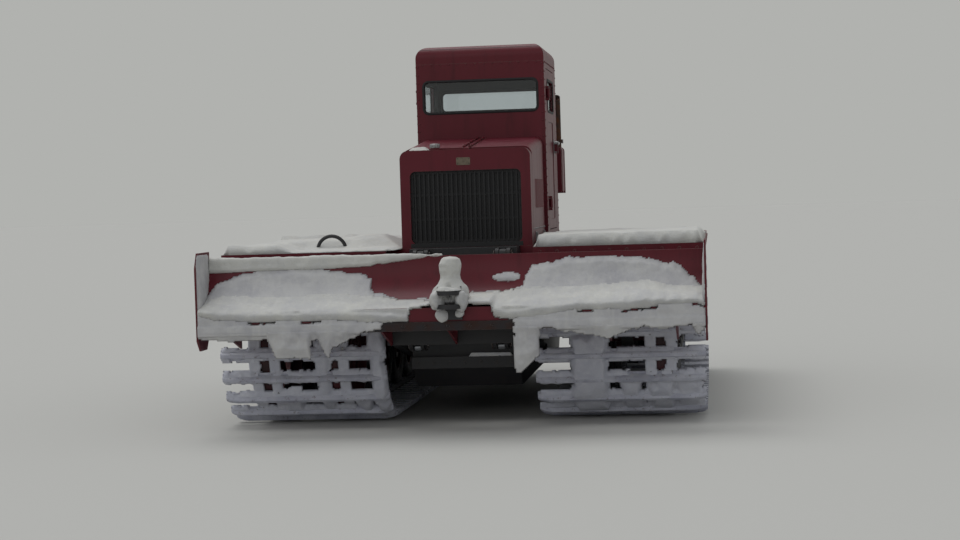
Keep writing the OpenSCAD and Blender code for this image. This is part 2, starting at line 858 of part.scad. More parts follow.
module door_one() {
    difference() {
        side_plate(cab_x - wall_t, wall_t)
            difference() {
                translate([door_s0 + gap, door_z0 + gap])
                    square([door_l - 2 * gap, door_z1 - door_z0 - 2 * gap]);
                rounded(pane_s0, screen_z0, pane_s1, screen_z1, window_r);
            }
        side_plate(cab_x - press_in, wall_t)
            rounded(door_s0 + press_rim, door_z0 + press_rim,
                handle_s - 30, screen_z0 - press_rim, window_r);
    }
    for (z = door_hinges)
        difference() {
            union() {
                translate([cab_x + pin_out, door_s0, z + 20])
                    cylinder(h = door_knuckle_h, d = door_knuckle_d);
                box([cab_x - 4, door_s0 + gap, z + 20],
                    [cab_x + pin_out, door_s0 + 60, z + 20 + door_knuckle_h]);
            }
            translate([cab_x + pin_out, door_s0, z])
                cylinder(h = door_knuckle_h + 60, d = door_pin_d + 2 * run);
        }
    box([cab_x - 4, handle_s, handle_z], [cab_x + 34, handle_s + 20, handle_z + 90]);
}

module door_left() color("#7d1820") placed() door_one();

module door_right() color("#7d1820") placed() mirror([1, 0, 0]) door_one();

module door_pane() {
    side_plate(cab_x - wall_t / 2 - glass_t / 2, glass_t)
        rounded(pane_s0 + fit, screen_z0 + fit, pane_s1 - fit, screen_z1 - fit, window_r);
}

module door_glass_left() color([0.6, 0.7, 0.75, 0.5]) placed() door_pane();

module door_glass_right() color([0.6, 0.7, 0.75, 0.5]) placed() mirror([1, 0, 0]) door_pane();

seat_s1 = cab_s1 - seat_in;
seat_s0 = seat_s1 - seat_l;
seat_z = cab_z + seat_h;
back_t = 80;
soft_r = 30;

module seat_cushion() color("#2c2a2c") placed() {
    side_plate(-seat_w / 2, seat_w)
        rounded(seat_s0, seat_z + fit, seat_s1 - back_t - 10, seat_z + cushion_h, soft_r);
}

module seat_back() color("#2c2a2c") placed() {
    side_plate(-seat_w / 2, seat_w)
        rounded(seat_s1 - back_t, seat_z + fit, cab_s1 - wall_t - fit, seat_z + back_h, soft_r);
}

lever_x = [-250, -50];
lever_d = 24;
knob_d = 56;
dash_s = cab_s + wall_t;
dash_z = screen_z0 - dash_gap;
dash_side = 25;
dash_x = cab_x - wall_t - dash_side;
pedal_s = cab_s + 190;
pedal_l = 100;
pedal_h = 60;
pedal_x = [-330, 30];
tread_x = [-290, -180, -70];

module controls() color("#18181a") placed() {
    side_plate(-dash_x, 2 * dash_x)
        polygon([
            [dash_s, dash_z - dash_h],
            [dash_s + dash_l, dash_z - dash_h * 2 / 3],
            [dash_s + dash_l - 70, dash_z],
            [dash_s, dash_z],
        ]);
    box([pedal_x[0], pedal_s, cab_z], [pedal_x[1], pedal_s + pedal_l, cab_z + pedal_h]);
    for (x = tread_x)
        side_plate(x, 60)
            polygon([
                [pedal_s, cab_z + pedal_h - 5],
                [pedal_s + 30, cab_z + pedal_h - 5],
                [pedal_s + 10, cab_z + pedal_h + 120],
                [pedal_s - 2, cab_z + pedal_h + 120],
            ]);
    for (x = lever_x) {
        translate([x, pedal_s + pedal_l / 2, cab_z + pedal_h / 2])
            cylinder(h = lever_h - pedal_h / 2, d = lever_d);
        translate([x, pedal_s + pedal_l / 2, cab_z + lever_h])
            sphere(d = knob_d);
    }
}

locker_s0 = cab_s1 + locker_gap;
locker_z = deck_z + locker_h;
lid_h = 50;
lid_in = 8;

module rear_locker() color("#26262a") placed() {
    box([-locker_w / 2 + lid_in, locker_s0 + lid_in, deck_z],
        [locker_w / 2 - lid_in, locker_s0 + locker_l - lid_in, locker_z - lid_h]);
    box([-locker_w / 2, locker_s0, locker_z - lid_h], [locker_w / 2, locker_s0 + locker_l, locker_z]);
}

silencer_s0 = locker_s0 + 30;
silencer_z = locker_z + silencer_h;
silencer_r = 30;
strap_w = 40;
strap_t = 4;

module silencer_box() color("#5a1620") placed() {
    front_plate(silencer_s0, silencer_l)
        rounded(silencer_in, locker_z, silencer_in + silencer_w, silencer_z, silencer_r);
    for (s = [silencer_s0 + strap_w, silencer_s0 + silencer_l - 2 * strap_w])
        front_plate(s, strap_w)
            intersection() {
                rounded(silencer_in - strap_t, locker_z - silencer_r, silencer_in + silencer_w + strap_t,
                    silencer_z + strap_t, silencer_r + strap_t);
                translate([0, locker_z])
                    square([2 * silencer_w, 2 * silencer_h]);
            }
}

stack_x = silencer_in + silencer_w - 45;
stack_s = silencer_s0 + silencer_l / 2 - 15;
stack_wall = 4;

module exhaust() color("#18181a") placed() {
    difference() {
        union() {
            translate([stack_x, stack_s, silencer_z])
                cylinder(h = stack_h, d = stack_d);
            translate([stack_x, stack_s, silencer_z + stack_d / 2])
                cylinder(h = 30, d = stack_d + 4 * stack_wall);
        }
        translate([stack_x, stack_s, silencer_z + stack_d])
            cylinder(h = stack_h, d = stack_d - 2 * stack_wall);
        translate([stack_x - stack_d, stack_s + stack_d * 5 / 6, silencer_z + stack_h])
            rotate([35, 0, 0])
                translate([0, -3 * stack_d, 0])
                    cube([2 * stack_d, 6 * stack_d, 2 * stack_d]);
    }
}

hoop_x = [-1107, -900];
hoop_s = shell_s + 100;
hoop_d = 26;
hoop_foot = 60;

module grab_hoop() color("#18181a") placed() {
    hoop_r = (hoop_x[1] - hoop_x[0]) / 2;
    translate([(hoop_x[0] + hoop_x[1]) / 2, hoop_s, deck_z])
        rotate([90, 0, 0])
            intersection() {
                rotate_extrude()
                    translate([hoop_r, 0])
                        circle(d = hoop_d, $fn = 12);
                translate([-2 * hoop_r, 0, -hoop_d])
                    cube([4 * hoop_r, 2 * hoop_r, 2 * hoop_d]);
            }
    for (x = hoop_x)
        translate([x, hoop_s, deck_z])
            cylinder(h = 8, d = hoop_foot);
}

hitch_z = 560;
hitch_w = 120;
hitch_t = 25;
hitch_gap = 70;
hitch_hole_d = 33;
hitch_base = [200, 20, 130];
hitch_eye_s = rear_s - hitch_w / 2;

module rear_hitch() color("#26262a") placed() {
    difference() {
        union() {
            box([-hitch_base[0], hull_s1, hitch_z - hitch_base[2]],
                [hitch_base[0], hull_s1 + hitch_base[1], hitch_z + hitch_base[2]]);
            for (z = [hitch_z - hitch_gap / 2 - hitch_t, hitch_z + hitch_gap / 2])
                translate([0, 0, z])
                    linear_extrude(hitch_t)
                        union() {
                            translate([-hitch_w / 2, hull_s1 + hitch_base[1] / 2])
                                square([hitch_w, hitch_eye_s - hull_s1 - hitch_base[1] / 2]);
                            translate([0, hitch_eye_s])
                                circle(hitch_w / 2);
                        }
        }
        translate([0, hitch_eye_s, hitch_z - hitch_w])
            cylinder(h = 2 * hitch_w, d = hitch_hole_d);
    }
}

arm_tilt = atan2(beam_z - pivot_z, pivot_s - beam_s);
arm_len = norm([beam_z - pivot_z, pivot_s - beam_s]);

module push_arm() {
    side_plate(arm_x - arm_w / 2, arm_w)
        difference() {
            union() {
                translate([pivot_s, pivot_z])
                    rotate(180 - arm_tilt)
                        translate([0, -arm_h / 2])
                            square([arm_len, arm_h]);
                translate([pivot_s, pivot_z])
                    circle(arm_h / 2 + 10);
            }
            translate([pivot_s, pivot_z])
                circle(pivot_d / 2 + run);
        }
}

eye_lug_r = pin_d / 2 + 16;
beam_low = beam_z - beam_a / 2;

module push_frame() color("#3a1418") placed() {
    for (k = [0, 1])
        mirror([k, 0, 0])
            push_arm();
    box([-arm_x - arm_w / 2, beam_s - beam_a / 2, beam_z - beam_a / 2],
        [arm_x + arm_w / 2, beam_s + beam_a / 2, beam_z + beam_a / 2]);
    for (x = [-cyl_x, cyl_x], k = [-1, 1])
        side_plate(x + k * (lug_gap + lug_w) / 2 - lug_w / 2, lug_w)
            union() {
                translate([eye_s, eye_z])
                    circle(eye_lug_r);
                polygon([
                    [eye_s, eye_z - eye_lug_r],
                    [eye_s, eye_z + eye_lug_r],
                    [beam_s + beam_a / 2 - 5, beam_low + 20],
                    [beam_s - 20, beam_low + 10],
                    [beam_s + 10, beam_low - 30],
                ]);
            }
    for (x = [-cyl_x, cyl_x])
        cross_rod(x - pin_l / 2, x + pin_l / 2, eye_s, eye_z, pin_d);
}

ledge_z = blade_top - blade_r;
blade_x = blade_w / 2;
rib_x = [-1500, -1050, -arm_x, 0, arm_x, 1050, 1500];
rib_t = 14;

box_l = [90, 130];
rib_back = 60;
rib_low = 120;
lip_low = 20;

// Area behind the mouldboard that the ribs and the lower box fill
module blade_back(s_back) {
    difference() {
        polygon([
            [0, blade_low],
            [beam_s - beam_a / 2 - fit, beam_z - beam_a / 2],
            [beam_s - beam_a / 2 - fit, beam_z + beam_a / 2],
            [s_back, blade_top - rib_low],
            [blade_r + blade_t, blade_top - lip_low],
            [blade_r - 5, blade_top - lip_low],
            [0, ledge_z - 4],
        ]);
        translate([0, blade_top])
            circle(blade_r + 1);
    }
}

module mouldboard_shape() {
    difference() {
        translate([0, blade_top])
            circle(blade_r + blade_t);
        translate([0, blade_top])
            circle(blade_r);
        translate([-2 * blade_r, blade_top])
            square([4 * blade_r, 2 * blade_r]);
        translate([-2 * blade_r, blade_top - 2 * blade_r])
            square([2 * blade_r, 3 * blade_r]);
    }
}

end_back = blade_r + blade_t + 20;
end_cut = [60, 100];
end_toe = [70, 70];
end_heel = [230, 170];

module end_shape() {
    polygon([
        [end_cut[0], end_top],
        [0, end_top - end_cut[1]],
        [0, end_low + end_toe[1]],
        [end_toe[0], end_low],
        [end_heel[0], end_low],
        [end_back, end_low + end_heel[1]],
        [end_back, end_top],
    ]);
}

module blade() color("#7d1820") placed() {
    side_plate(-blade_x, blade_w)
        mouldboard_shape();
    side_plate(-blade_x, blade_w)
        difference() {
            polygon([
                [0, blade_low],
                [box_l[0], blade_low],
                [box_l[1], ledge_z + 10],
                [0, ledge_z - 2],
            ]);
            translate([0, blade_top])
                circle(blade_r + 1);
        }
    for (x = rib_x)
        side_plate(x - rib_t / 2, rib_t)
            blade_back(blade_r + blade_t + rib_back);
    for (k = [0, 1])
        mirror([k, 0, 0])
            side_plate(blade_x - 1, end_t + 1)
                end_shape();
}

jaw_x = 20;
jaw_z = 905;
jaw_w = 160;
jaw_t = 30;
jaw_gap = 60;
jaw_hole_d = 42;
jaw_base = [jaw_w, 30, 85];
jaw_foot = 70;
post_s = 52;
post_d = 84;
post_head = 124;
post_tip = 70;
post_top = 1172;
post_cap = 70;
post_foot = jaw_z - 35;
jaw_hole_s = jaw_w / 2 - jaw_reach;

module tow_jaw() color("#26262a") placed() {
    difference() {
        union() {
            box([jaw_x - jaw_base[0] / 2, -jaw_base[1], blade_low + jaw_foot],
                [jaw_x + jaw_base[0] / 2, -fit, jaw_z + jaw_base[2]]);
            for (z = [jaw_z - jaw_gap / 2 - jaw_t, jaw_z + jaw_gap / 2])
                translate([0, 0, z])
                    linear_extrude(jaw_t)
                        intersection() {
                            translate([jaw_x - jaw_w / 2, -jaw_reach])
                                square([jaw_w, jaw_reach - 10]);
                            union() {
                                translate([jaw_x - jaw_w / 2, jaw_hole_s])
                                    square([jaw_w, jaw_reach]);
                                translate([jaw_x, jaw_hole_s])
                                    circle(jaw_w / 2);
                            }
                        }
            box([jaw_x - 36, -20, post_foot], [jaw_x + 36, post_s, jaw_z + jaw_base[2]]);
            translate([jaw_x, post_s, post_foot])
                cylinder(h = post_top - post_cap - post_foot + 5, d = post_d);
            translate([jaw_x, post_s, post_top - post_cap])
                cylinder(h = post_cap - 40, d = post_head);
            translate([jaw_x, post_s, post_top - 40])
                cylinder(h = 40, d1 = post_head, d2 = post_tip);
        }
        translate([jaw_x, jaw_hole_s, jaw_z - jaw_w])
            cylinder(h = 2 * jaw_w, d = jaw_hole_d);
    }
}

function toward(p, q) = atan2(q[1] - p[1], q[0] - p[0]);
cyl_tilt = toward([barrel_s, barrel_z], [eye_s, eye_z]);
barrel_len = cyl_min - 38;
rod_len = cyl_min - pin_d / 2 - 36;
eye_w = lug_gap - 2 * gap;

// A cylinder's piece drawn along its own length, from the barrel's pin toward the rod's
module along_cylinder(x) translate([x, barrel_s, barrel_z]) rotate([cyl_tilt, 0, 0]) children();

module barrel_one(x) {
    along_cylinder(x)
        difference() {
            union() {
                rotate([-90, 0, 0])
                    translate([0, 0, lug_r + 8])
                        cylinder(h = barrel_len - lug_r - 8, d = barrel_d);
                translate([-eye_w / 2, 0, 0])
                    rotate([0, 90, 0])
                        cylinder(h = eye_w, r = pin_d / 2 + 16);
                translate([-eye_w / 2, 0, -24])
                    cube([eye_w, lug_r + 12, 48]);
            }
            translate([-100, 0, 0])
                rotate([0, 90, 0])
                    cylinder(h = 200, d = pin_d + 2 * run);
            rotate([-90, 0, 0])
                translate([0, 0, pin_d / 2 + 30])
                    cylinder(h = barrel_len, d = rod_d + 2 * run);
        }
}

module rod_one(x) {
    pins = norm([eye_s - barrel_s, eye_z - barrel_z]);
    along_cylinder(x)
        difference() {
            union() {
                rotate([-90, 0, 0])
                    translate([0, 0, pins - rod_len])
                        cylinder(h = rod_len - 10, d = rod_d);
                translate([-eye_w / 2, pins, 0])
                    rotate([0, 90, 0])
                        cylinder(h = eye_w, r = pin_d / 2 + 15);
            }
            translate([-100, pins, 0])
                rotate([0, 90, 0])
                    cylinder(h = 200, d = pin_d + 2 * eye_play);
        }
}

module barrel_left() color("#26262a") placed() barrel_one(cyl_x);

module barrel_right() color("#26262a") placed() barrel_one(-cyl_x);

module rod_left() color("#b8bcc2") placed() rod_one(cyl_x);

module rod_right() color("#b8bcc2") placed() rod_one(-cyl_x);

chassis_hull();
cross_tubes();
deck_left();
deck_right();
radiator_shell();
radiator_grille();
engine_block();
hood_left();
hood_right();
cab_floor();
cab_front();
cab_rear();
cab_left();
cab_right();
cab_roof();
cab_glass();
door_left();
door_right();
door_glass_left();
door_glass_right();
seat_cushion();
seat_back();
controls();
track_left();
track_right();
track_frame_left();
track_frame_right();
road_wheels_left();
road_wheels_right();
tyres_left();
tyres_right();
sprocket_left();
sprocket_right();
push_frame();
blade();
tow_jaw();
barrel_left();
barrel_right();
rod_left();
rod_right();
rear_locker();
silencer_box();
exhaust();
grab_hoop();
rear_hitch();
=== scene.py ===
# %% [markdown]
# A tracked snow groomer: a red blade in front, an engine under a hood, a narrow cab above it.
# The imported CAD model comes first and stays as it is. Everything below dresses it.

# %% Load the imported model
import math
import bmesh
import bpy
import numpy as np
from mathutils import Matrix, Vector
from mathutils.bvhtree import BVHTree


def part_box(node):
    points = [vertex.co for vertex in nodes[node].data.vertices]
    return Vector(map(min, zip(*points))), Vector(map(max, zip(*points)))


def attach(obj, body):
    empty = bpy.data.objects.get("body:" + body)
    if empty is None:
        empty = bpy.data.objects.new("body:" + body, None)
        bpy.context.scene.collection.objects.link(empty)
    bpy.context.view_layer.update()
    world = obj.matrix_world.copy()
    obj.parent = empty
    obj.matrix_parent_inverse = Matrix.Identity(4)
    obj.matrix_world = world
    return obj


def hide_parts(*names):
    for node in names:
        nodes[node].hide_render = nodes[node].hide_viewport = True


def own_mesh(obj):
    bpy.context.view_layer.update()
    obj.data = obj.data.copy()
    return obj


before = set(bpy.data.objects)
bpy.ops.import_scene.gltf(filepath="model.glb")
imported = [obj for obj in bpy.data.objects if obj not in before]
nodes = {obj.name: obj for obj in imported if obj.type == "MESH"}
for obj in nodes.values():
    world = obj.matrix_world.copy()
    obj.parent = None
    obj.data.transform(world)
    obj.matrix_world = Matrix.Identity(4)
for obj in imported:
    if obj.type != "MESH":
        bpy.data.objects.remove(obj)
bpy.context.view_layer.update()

# %% [markdown]
# Sizes are read off the real machine in millimetres. A place is written as x, station and height,
# where the station counts rearward from the blade's front face. One function turns such places,
# single ones or whole arrays, into the model's metres.

# %% Places in millimetres
MM = 0.001
# station of the model's origin
MID = 2350.0
SIDES = ((1, "left"), (-1, "right"))
AHEAD, BACK, UPWARD = (0, -1, 0), (0, 1, 0), (0, 0, 1)
CHASSIS, BLADE = "chassis", "blade_lift_frame"


def at(x, s, z):
    """Metres from x, station and height in mm: (x, s - 2350, z) / 1000, for numbers or arrays."""
    x, s, z = (np.asarray(value, float) for value in (x, s, z))
    return np.stack(np.broadcast_arrays(x, s - MID, z), -1) * MM


# %% [markdown]
# The camera stands where the picture was taken: low, 13 m ahead of the blade, a little to the
# machine's left and rolled slightly. Its place was fitted to the machine's known corners.

# %% Camera
YAW, PITCH, ROLL = np.radians([-6.786, -2.167, -1.754])
CAMERA_PLACE = (1.77, -15.339, 1.587)
FOCAL_PIXELS, PHOTO_WIDE, SENSOR_WIDE = 1990.6, 960, 36.0


def linked(name, data):
    """A new object of the given data, in the scene."""
    made = bpy.data.objects.new(name, data)
    bpy.context.scene.collection.objects.link(made)
    return made


def look(yaw, pitch, roll):
    """Camera axes: forward turns yaw from +Y toward +X and pitch upward, then right and up roll about it."""
    cy, sy = math.cos(yaw), math.sin(yaw)
    forward = np.array([sy * math.cos(pitch), cy * math.cos(pitch), math.sin(pitch)])
    side = np.array([cy, -sy, 0.0])
    above = np.cross(side, forward)
    right = math.cos(roll) * side + math.sin(roll) * above
    up = -math.sin(roll) * side + math.cos(roll) * above
    return right, up, -forward


camera = linked("camera", bpy.data.cameras.new("camera"))
axes = np.eye(4)
axes[:3, :3] = np.stack(look(YAW, PITCH, ROLL), 1)
axes[:3, 3] = CAMERA_PLACE
camera.matrix_world = Matrix(axes.tolist())
camera.data.sensor_width = SENSOR_WIDE
camera.data.lens = FOCAL_PIXELS / PHOTO_WIDE * SENSOR_WIDE
camera.data.clip_end = 400.0
bpy.context.scene.camera = camera
print("lens", round(camera.data.lens, 2), "mm")

# %% [markdown]
# A mesh piece is a list of shells, each an array of points and an array of quads or triangles.
# numpy works the points out, from_pydata hands them to Blender, and doubled points are merged so that poles
# and seams close. Then every face is turned outward. A slot name is looked up from the material but not kept,
# and most pieces ride on the chassis.

# %% From arrays to a piece
def quads(rows, cols, ring_rows=False, ring_cols=False):
    """Four corners of each cell of a rows x cols grid; a ring joins the last line to the first."""
    r, c = np.meshgrid(np.arange(rows - (not ring_rows)), np.arange(cols - (not ring_cols)), indexing="ij")
    r2, c2 = (r + 1) % rows, (c + 1) % cols
    return np.stack([r * cols + c, r * cols + c2, r2 * cols + c2, r2 * cols + c], -1).reshape(-1, 4)


def skin(p, ring_rows=False, ring_cols=True):
    """A grid of points, one ring a row, with its faces."""
    return p, quads(*p.shape[:2], ring_rows, ring_cols)


def modified(made, name, kind, **settings):
    """A new modifier with its settings."""
    new = made.modifiers.new(name, kind)
    for key, value in settings.items():
        setattr(new, key, value)
    return new


def piece(name, shells, material, smooth=40, body=CHASSIS, slot=None, merge=2e-5, bevel=0.0):
    """One object from shells of (points, faces): joined, closed, faces outward, riding on its body."""
    points, faces, start = [], [], 0
    for p, f in shells:
        points.append(np.reshape(p, (-1, 3)))
        faces += (f + start).tolist()
        start += len(points[-1])
    mesh = bpy.data.meshes.new(name)
    mesh.from_pydata(np.concatenate(points).tolist(), [], faces)
    work = bmesh.new()
    work.from_mesh(mesh)
    bmesh.ops.remove_doubles(work, verts=work.verts, dist=merge)
    bmesh.ops.dissolve_degenerate(work, edges=work.edges, dist=1e-6)
    bmesh.ops.recalc_face_normals(work, faces=work.faces)
    work.to_mesh(mesh)
    work.free()
    made = linked(name, mesh)
    mesh.materials.append(material)
    mesh.shade_smooth()
    if smooth < 180:
        mesh.set_sharp_from_angle(angle=math.radians(smooth))
    if bevel:
        modified(made, "rounded edges", "BEVEL", width=bevel, segments=2, limit_method="ANGLE")
    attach(made, body)
    slot = slot or SLOT.get(material)
    print(f"{name}: {len(mesh.polygons)} faces")
    return made


# %% [markdown]
# Four ways of making a shell cover nearly everything on the machine: a profile carried along a
# path, a profile turned about an axis, a flat outline given a thickness, and one small shape
# repeated at many places, as bolt heads are.

# %% Shells
def circle(sides, radius=1.0):
    """Points on a circle, in two columns."""
    t = np.arange(sides) * 2 * math.pi / sides
    return radius * np.stack([np.cos(t), np.sin(t)], -1)


def fan(ring):
    """A ring of points and its middle, joined by triangles."""
    m = len(ring)
    k = np.arange(m)
    return np.vstack([ring, ring.mean(0)]), np.stack([k, (k + 1) % m, np.full(m, m)], -1)


def along(path, section, up, ring=False):
    """Points path[i] + a[j] * side[i] + b[j] * up[i], with side = forward x up; ends get fans."""
    path, section, up = np.asarray(path, float), np.asarray(section, float), np.asarray(up, float)
    up = np.broadcast_to(up, path.shape)
    ahead = np.roll(path, -1, 0) - np.roll(path, 1, 0)
    if not ring:
        ahead[0], ahead[-1] = path[1] - path[0], path[-1] - path[-2]
    ahead /= np.linalg.norm(ahead, axis=1, keepdims=True)
    side = np.cross(ahead, up)
    side /= np.linalg.norm(side, axis=1, keepdims=True)
    out = np.cross(side, ahead)
    p = path[:, None] + section[None, :, :1] * side[:, None] + section[None, :, 1:] * out[:, None]
    return [skin(p, ring)] if ring else [skin(p), fan(p[0]), fan(p[-1])]


def turned(profile, origin, axis=(1, 0, 0), sides=32):
    """Profile (radius, height) turned about an axis: origin + h axis + r (cos t u + sin t v), in mm."""
    profile = np.asarray(profile, float) * MM
    axis = np.asarray(axis, float) / np.linalg.norm(axis)
    u = np.cross(axis, (0.3, 0.5, 0.81))
    u /= np.linalg.norm(u)
    v = np.cross(axis, u)
    cos, sin = circle(sides).T[..., None]
    p = np.asarray(origin) + profile[:, None, 1:] * axis + profile[:, None, :1] * (cos * u + sin * v)[None]
    return [skin(p)]


def plate(flat, thick):
    """Both faces of a flat ring of points and the wall between them."""
    return [skin(np.stack([flat, flat + thick])), fan(flat), fan(flat + thick)]


def box_shell(lo, hi):
    """A box between two corners given as (x, station, height) in mm."""
    (x0, s0, z0), (x1, s1, z1) = lo, hi
    ring = at([x0, x1, x1, x0], [s0, s0, s1, s1], z0)
    return plate(ring, np.array([0, 0, (z1 - z0) * MM]))


def repeat(shells, places, axes):
    """Each shell copied to every place, its own Z laid along that place's axis."""
    places = np.atleast_2d(np.asarray(places, float))
    z = np.broadcast_to(np.asarray(axes, float), places.shape)
    z = z / np.linalg.norm(z, axis=1, keepdims=True)
    x = np.cross(np.where(np.abs(z[:, 2:]) > 0.9, [[0.0, 1, 0]], [[0.0, 0, 1]]), z)
    x /= np.linalg.norm(x, axis=1, keepdims=True)
    turn = np.stack([x, np.cross(z, x), z], -1)
    made = []
    for p, f in shells:
        p = np.reshape(p, (-1, 3))
        copies = np.einsum("kij,nj->kni", turn, p) + places[:, None]
        step = (np.arange(len(places)) * len(p))[:, None, None]
        made.append((copies, (f + step).reshape(-1, f.shape[1])))
    return made


def hexagon_head(across, height):
    """A six-sided head with a chamfered top, on its washer."""
    r = across / math.sqrt(3)
    washer = [(0, 0), (r * 1.35, 0), (r * 1.35, height * 0.2), (r, height * 0.2)]
    return turned(washer + [(r, height * 0.9), (r * 0.86, height), (0, height)], (0, 0, 0), (0, 0, 1), 6)


def round_head(width, height):
    """A domed rivet head: rings at 0, 45 and 90 degrees of the dome."""
    r = width / 2
    dome = [(0, -0.5), (r, -0.5), (r, 0), (r * 0.72, height * 0.72), (0, height)]
    return turned(dome, (0, 0, 0), (0, 0, 1), 8)


def rounded_outline(x0, z0, x1, z1, r, steps=8):
    """A rectangle's outline with its corners as quarter circles, anticlockwise."""
    found = []
    for k, corner in enumerate([(x1 - r, z1 - r), (x0 + r, z1 - r), (x0 + r, z0 + r), (x1 - r, z0 + r)]):
        a = np.linspace(0, math.pi / 2, steps) + k * math.pi / 2
        found.append(corner + r * np.stack([np.cos(a), np.sin(a)], -1))
    return np.concatenate(found)


def bead(width, height, steps=7):
    """A half-round section, width across and height out, in metres."""
    a = np.linspace(0, math.pi, steps)
    return np.stack([-np.cos(a) * width / 2, np.sin(a) * height], -1) * MM


def lumps(p, size, seed):
    """Soft value noise from -1 to 1: hashed values on a lattice of size mm, blended by smoothstep."""
    q = np.asarray(p, float) / (size * MM) + seed * 17.3
    base = np.floor(q).astype(np.int64)
    f = q - base
    f = f * f * (3 - 2 * f)
    total = np.zeros(q.shape[:-1])
    for corner in np.ndindex(2, 2, 2):
        c = base + np.array(corner)
        h = (c[..., 0] * 73856093 ^ c[..., 1] * 19349663 ^ c[..., 2] * 83492791) & 0xFFFFFF
        h = (h * 2654435761 & 0xFFFFFFFF) / 0xFFFFFFFF
        total += np.where(corner, f, 1 - f).prod(-1) * h
    return total * 2 - 1


def grains(p, sizes, seed):
    """The noise in each of the given sizes."""
    return [lumps(p, size, seed) for size in sizes]


print("helpers ready")

# %% [markdown]
# Colours are written as sRGB hex, the way a paint card gives them, and turned to linear light.
# One function adds a node with its settings and links. A finish is then a short list: the ground colour and
# gloss, layers laid over it (lighter upward faces, grime, streaks, worn edges and, in some finishes, painted
# shade and painted light) and fine bumps, each with the real size of its grain in millimetres.

# %% Colours, nodes and finishes
def colour(code):
    """Linear RGBA from sRGB hex: c / 12.92 below 0.04045, else ((c + 0.055) / 1.055) ^ 2.4."""
    c = np.array([int(code[i:i + 2], 16) for i in (1, 3, 5)]) / 255
    return (*np.where(c <= 0.04045, c / 12.92, ((c + 0.055) / 1.055) ** 2.4).tolist(), 1.0)


def node(tree, kind, values=None, links=None, **settings):
    """A node with its settings, its sockets' values and the links into it."""
    made = tree.nodes.new("ShaderNode" + kind)
    for key, value in settings.items():
        setattr(made, key, value)
    for key, value in (values or {}).items():
        made.inputs[key].default_value = value
    for key, source in (links or {}).items():
        if source is not None:
            tree.links.new(source, made.inputs[key])
    return made


def ramp(tree, value, low, high, top=1.0):
    """The value carried from low..high to 0..top."""
    ends = {"From Min": low, "From Max": high, "To Max": top}
    return node(tree, "MapRange", ends, {"Value": value}).outputs[0]


def pair(tree, operation, a, b):
    """One Math node on two sockets."""
    return node(tree, "Math", None, {0: a, 1: b}, operation=operation).outputs[0]


def grain_of(tree, place, size, detail, rough=0.5):
    """Noise with grains of the given size in mm."""
    values = {"Scale": 1000 / size, "Detail": detail, "Roughness": rough}
    return node(tree, "TexNoise", values, {"Vector": place}).outputs["Fac"]


# middle and half size in metres of the room inside the cab's walls, where the paint is darkened as painted
# shade
CAB_MID, CAB_HALF = (0.0, 0.425, 1.905), (0.4656, 0.4956, 0.81)


def mask(tree, kind, size, low, high, amount):
    """A layer's strength from 0 to amount over the surface, from a pattern of the given size in mm."""
    place = node(tree, "TexCoord").outputs["Object"]
    if kind == "streak":
        place = node(tree, "Mapping", {"Scale": (1, 1, 0.12)}, {"Vector": place}).outputs[0]
    grain = grain_of(tree, place, size, 4.0, 0.62)
    if kind in ("up", "low"):
        source = node(tree, "NewGeometry").outputs["Normal"] if kind == "up" else place
        level = node(tree, "SeparateXYZ", None, {"Vector": source}).outputs["Z"]
        grain = pair(tree, "MULTIPLY", ramp(tree, level, low, high), ramp(tree, grain, 0.35, 0.62))
        low, high = 0.0, 1.0
    if kind == "edge":
        soft = node(tree, "Bevel", {"Radius": 0.006}, samples=4).outputs[0]
        flat = node(tree, "NewGeometry").outputs["Normal"]
        same = node(tree, "VectorMath", None, {0: soft, 1: flat}, operation="DOT_PRODUCT").outputs["Value"]
        grain = pair(tree, "MULTIPLY", ramp(tree, same, 0.99, 0.8), grain)
    # painted shade: every surface inside the cab's room turns near-black
    if kind == "inside":
        off = node(tree, "VectorMath", {1: CAB_MID}, {0: place}, operation="SUBTRACT").outputs[0]
        off = node(tree, "VectorMath", None, {0: off}, operation="ABSOLUTE").outputs[0]
        room = node(tree, "VectorMath", {0: CAB_HALF}, {1: off}, operation="SUBTRACT").outputs[0]
        room = node(tree, "SeparateXYZ", None, {"Vector": room}).outputs
        grain = pair(tree, "MINIMUM", pair(tree, "MINIMUM", room[0], room[1]), room[2])
        low, high = 0.0, 0.0002
    return ramp(tree, grain, low, high, amount)


def mixed(tree, kind, strength, before, ground, over):
    """The ground, or what earlier layers made of it, mixed with over by strength."""
    first, out = {"RGBA": (6, 2), "FLOAT": (2, 0)}[kind]
    values, links = {first: ground, first + 1: over}, {"Factor": strength, first: before}
    return node(tree, "Mix", values, links, data_type=kind).outputs[out]


def finish(name, ground, rough, layers=(), bumps=(), **sockets):
    """A principled material; a layer: kind, mm, low, high, amount, hex, roughness; a bump: mm, depth."""
    made = bpy.data.materials.new(name)
    made.use_nodes = True
    tree = made.node_tree
    tree.nodes.clear()
    tint = gloss = normal = None
    for *pattern, code, layer_rough in layers:
        strength = mask(tree, *pattern)
        tint = mixed(tree, "RGBA", strength, tint, colour(ground), colour(code))
        gloss = mixed(tree, "FLOAT", strength, gloss, rough, layer_rough)
    for size, depth in bumps:
        grain = grain_of(tree, node(tree, "TexCoord").outputs["Object"], size, 3.0)
        values, links = {"Strength": 1.0, "Distance": depth * MM}, {"Height": grain, "Normal": normal}
        normal = node(tree, "Bump", values, links).outputs[0]
    values = {"Base Color": colour(ground), "Roughness": rough, **sockets}
    shader = node(tree, "BsdfPrincipled", values, {"Base Color": tint, "Roughness": gloss, "Normal": normal})
    node(tree, "OutputMaterial", None, {"Surface": shader.outputs[0]})
    return made
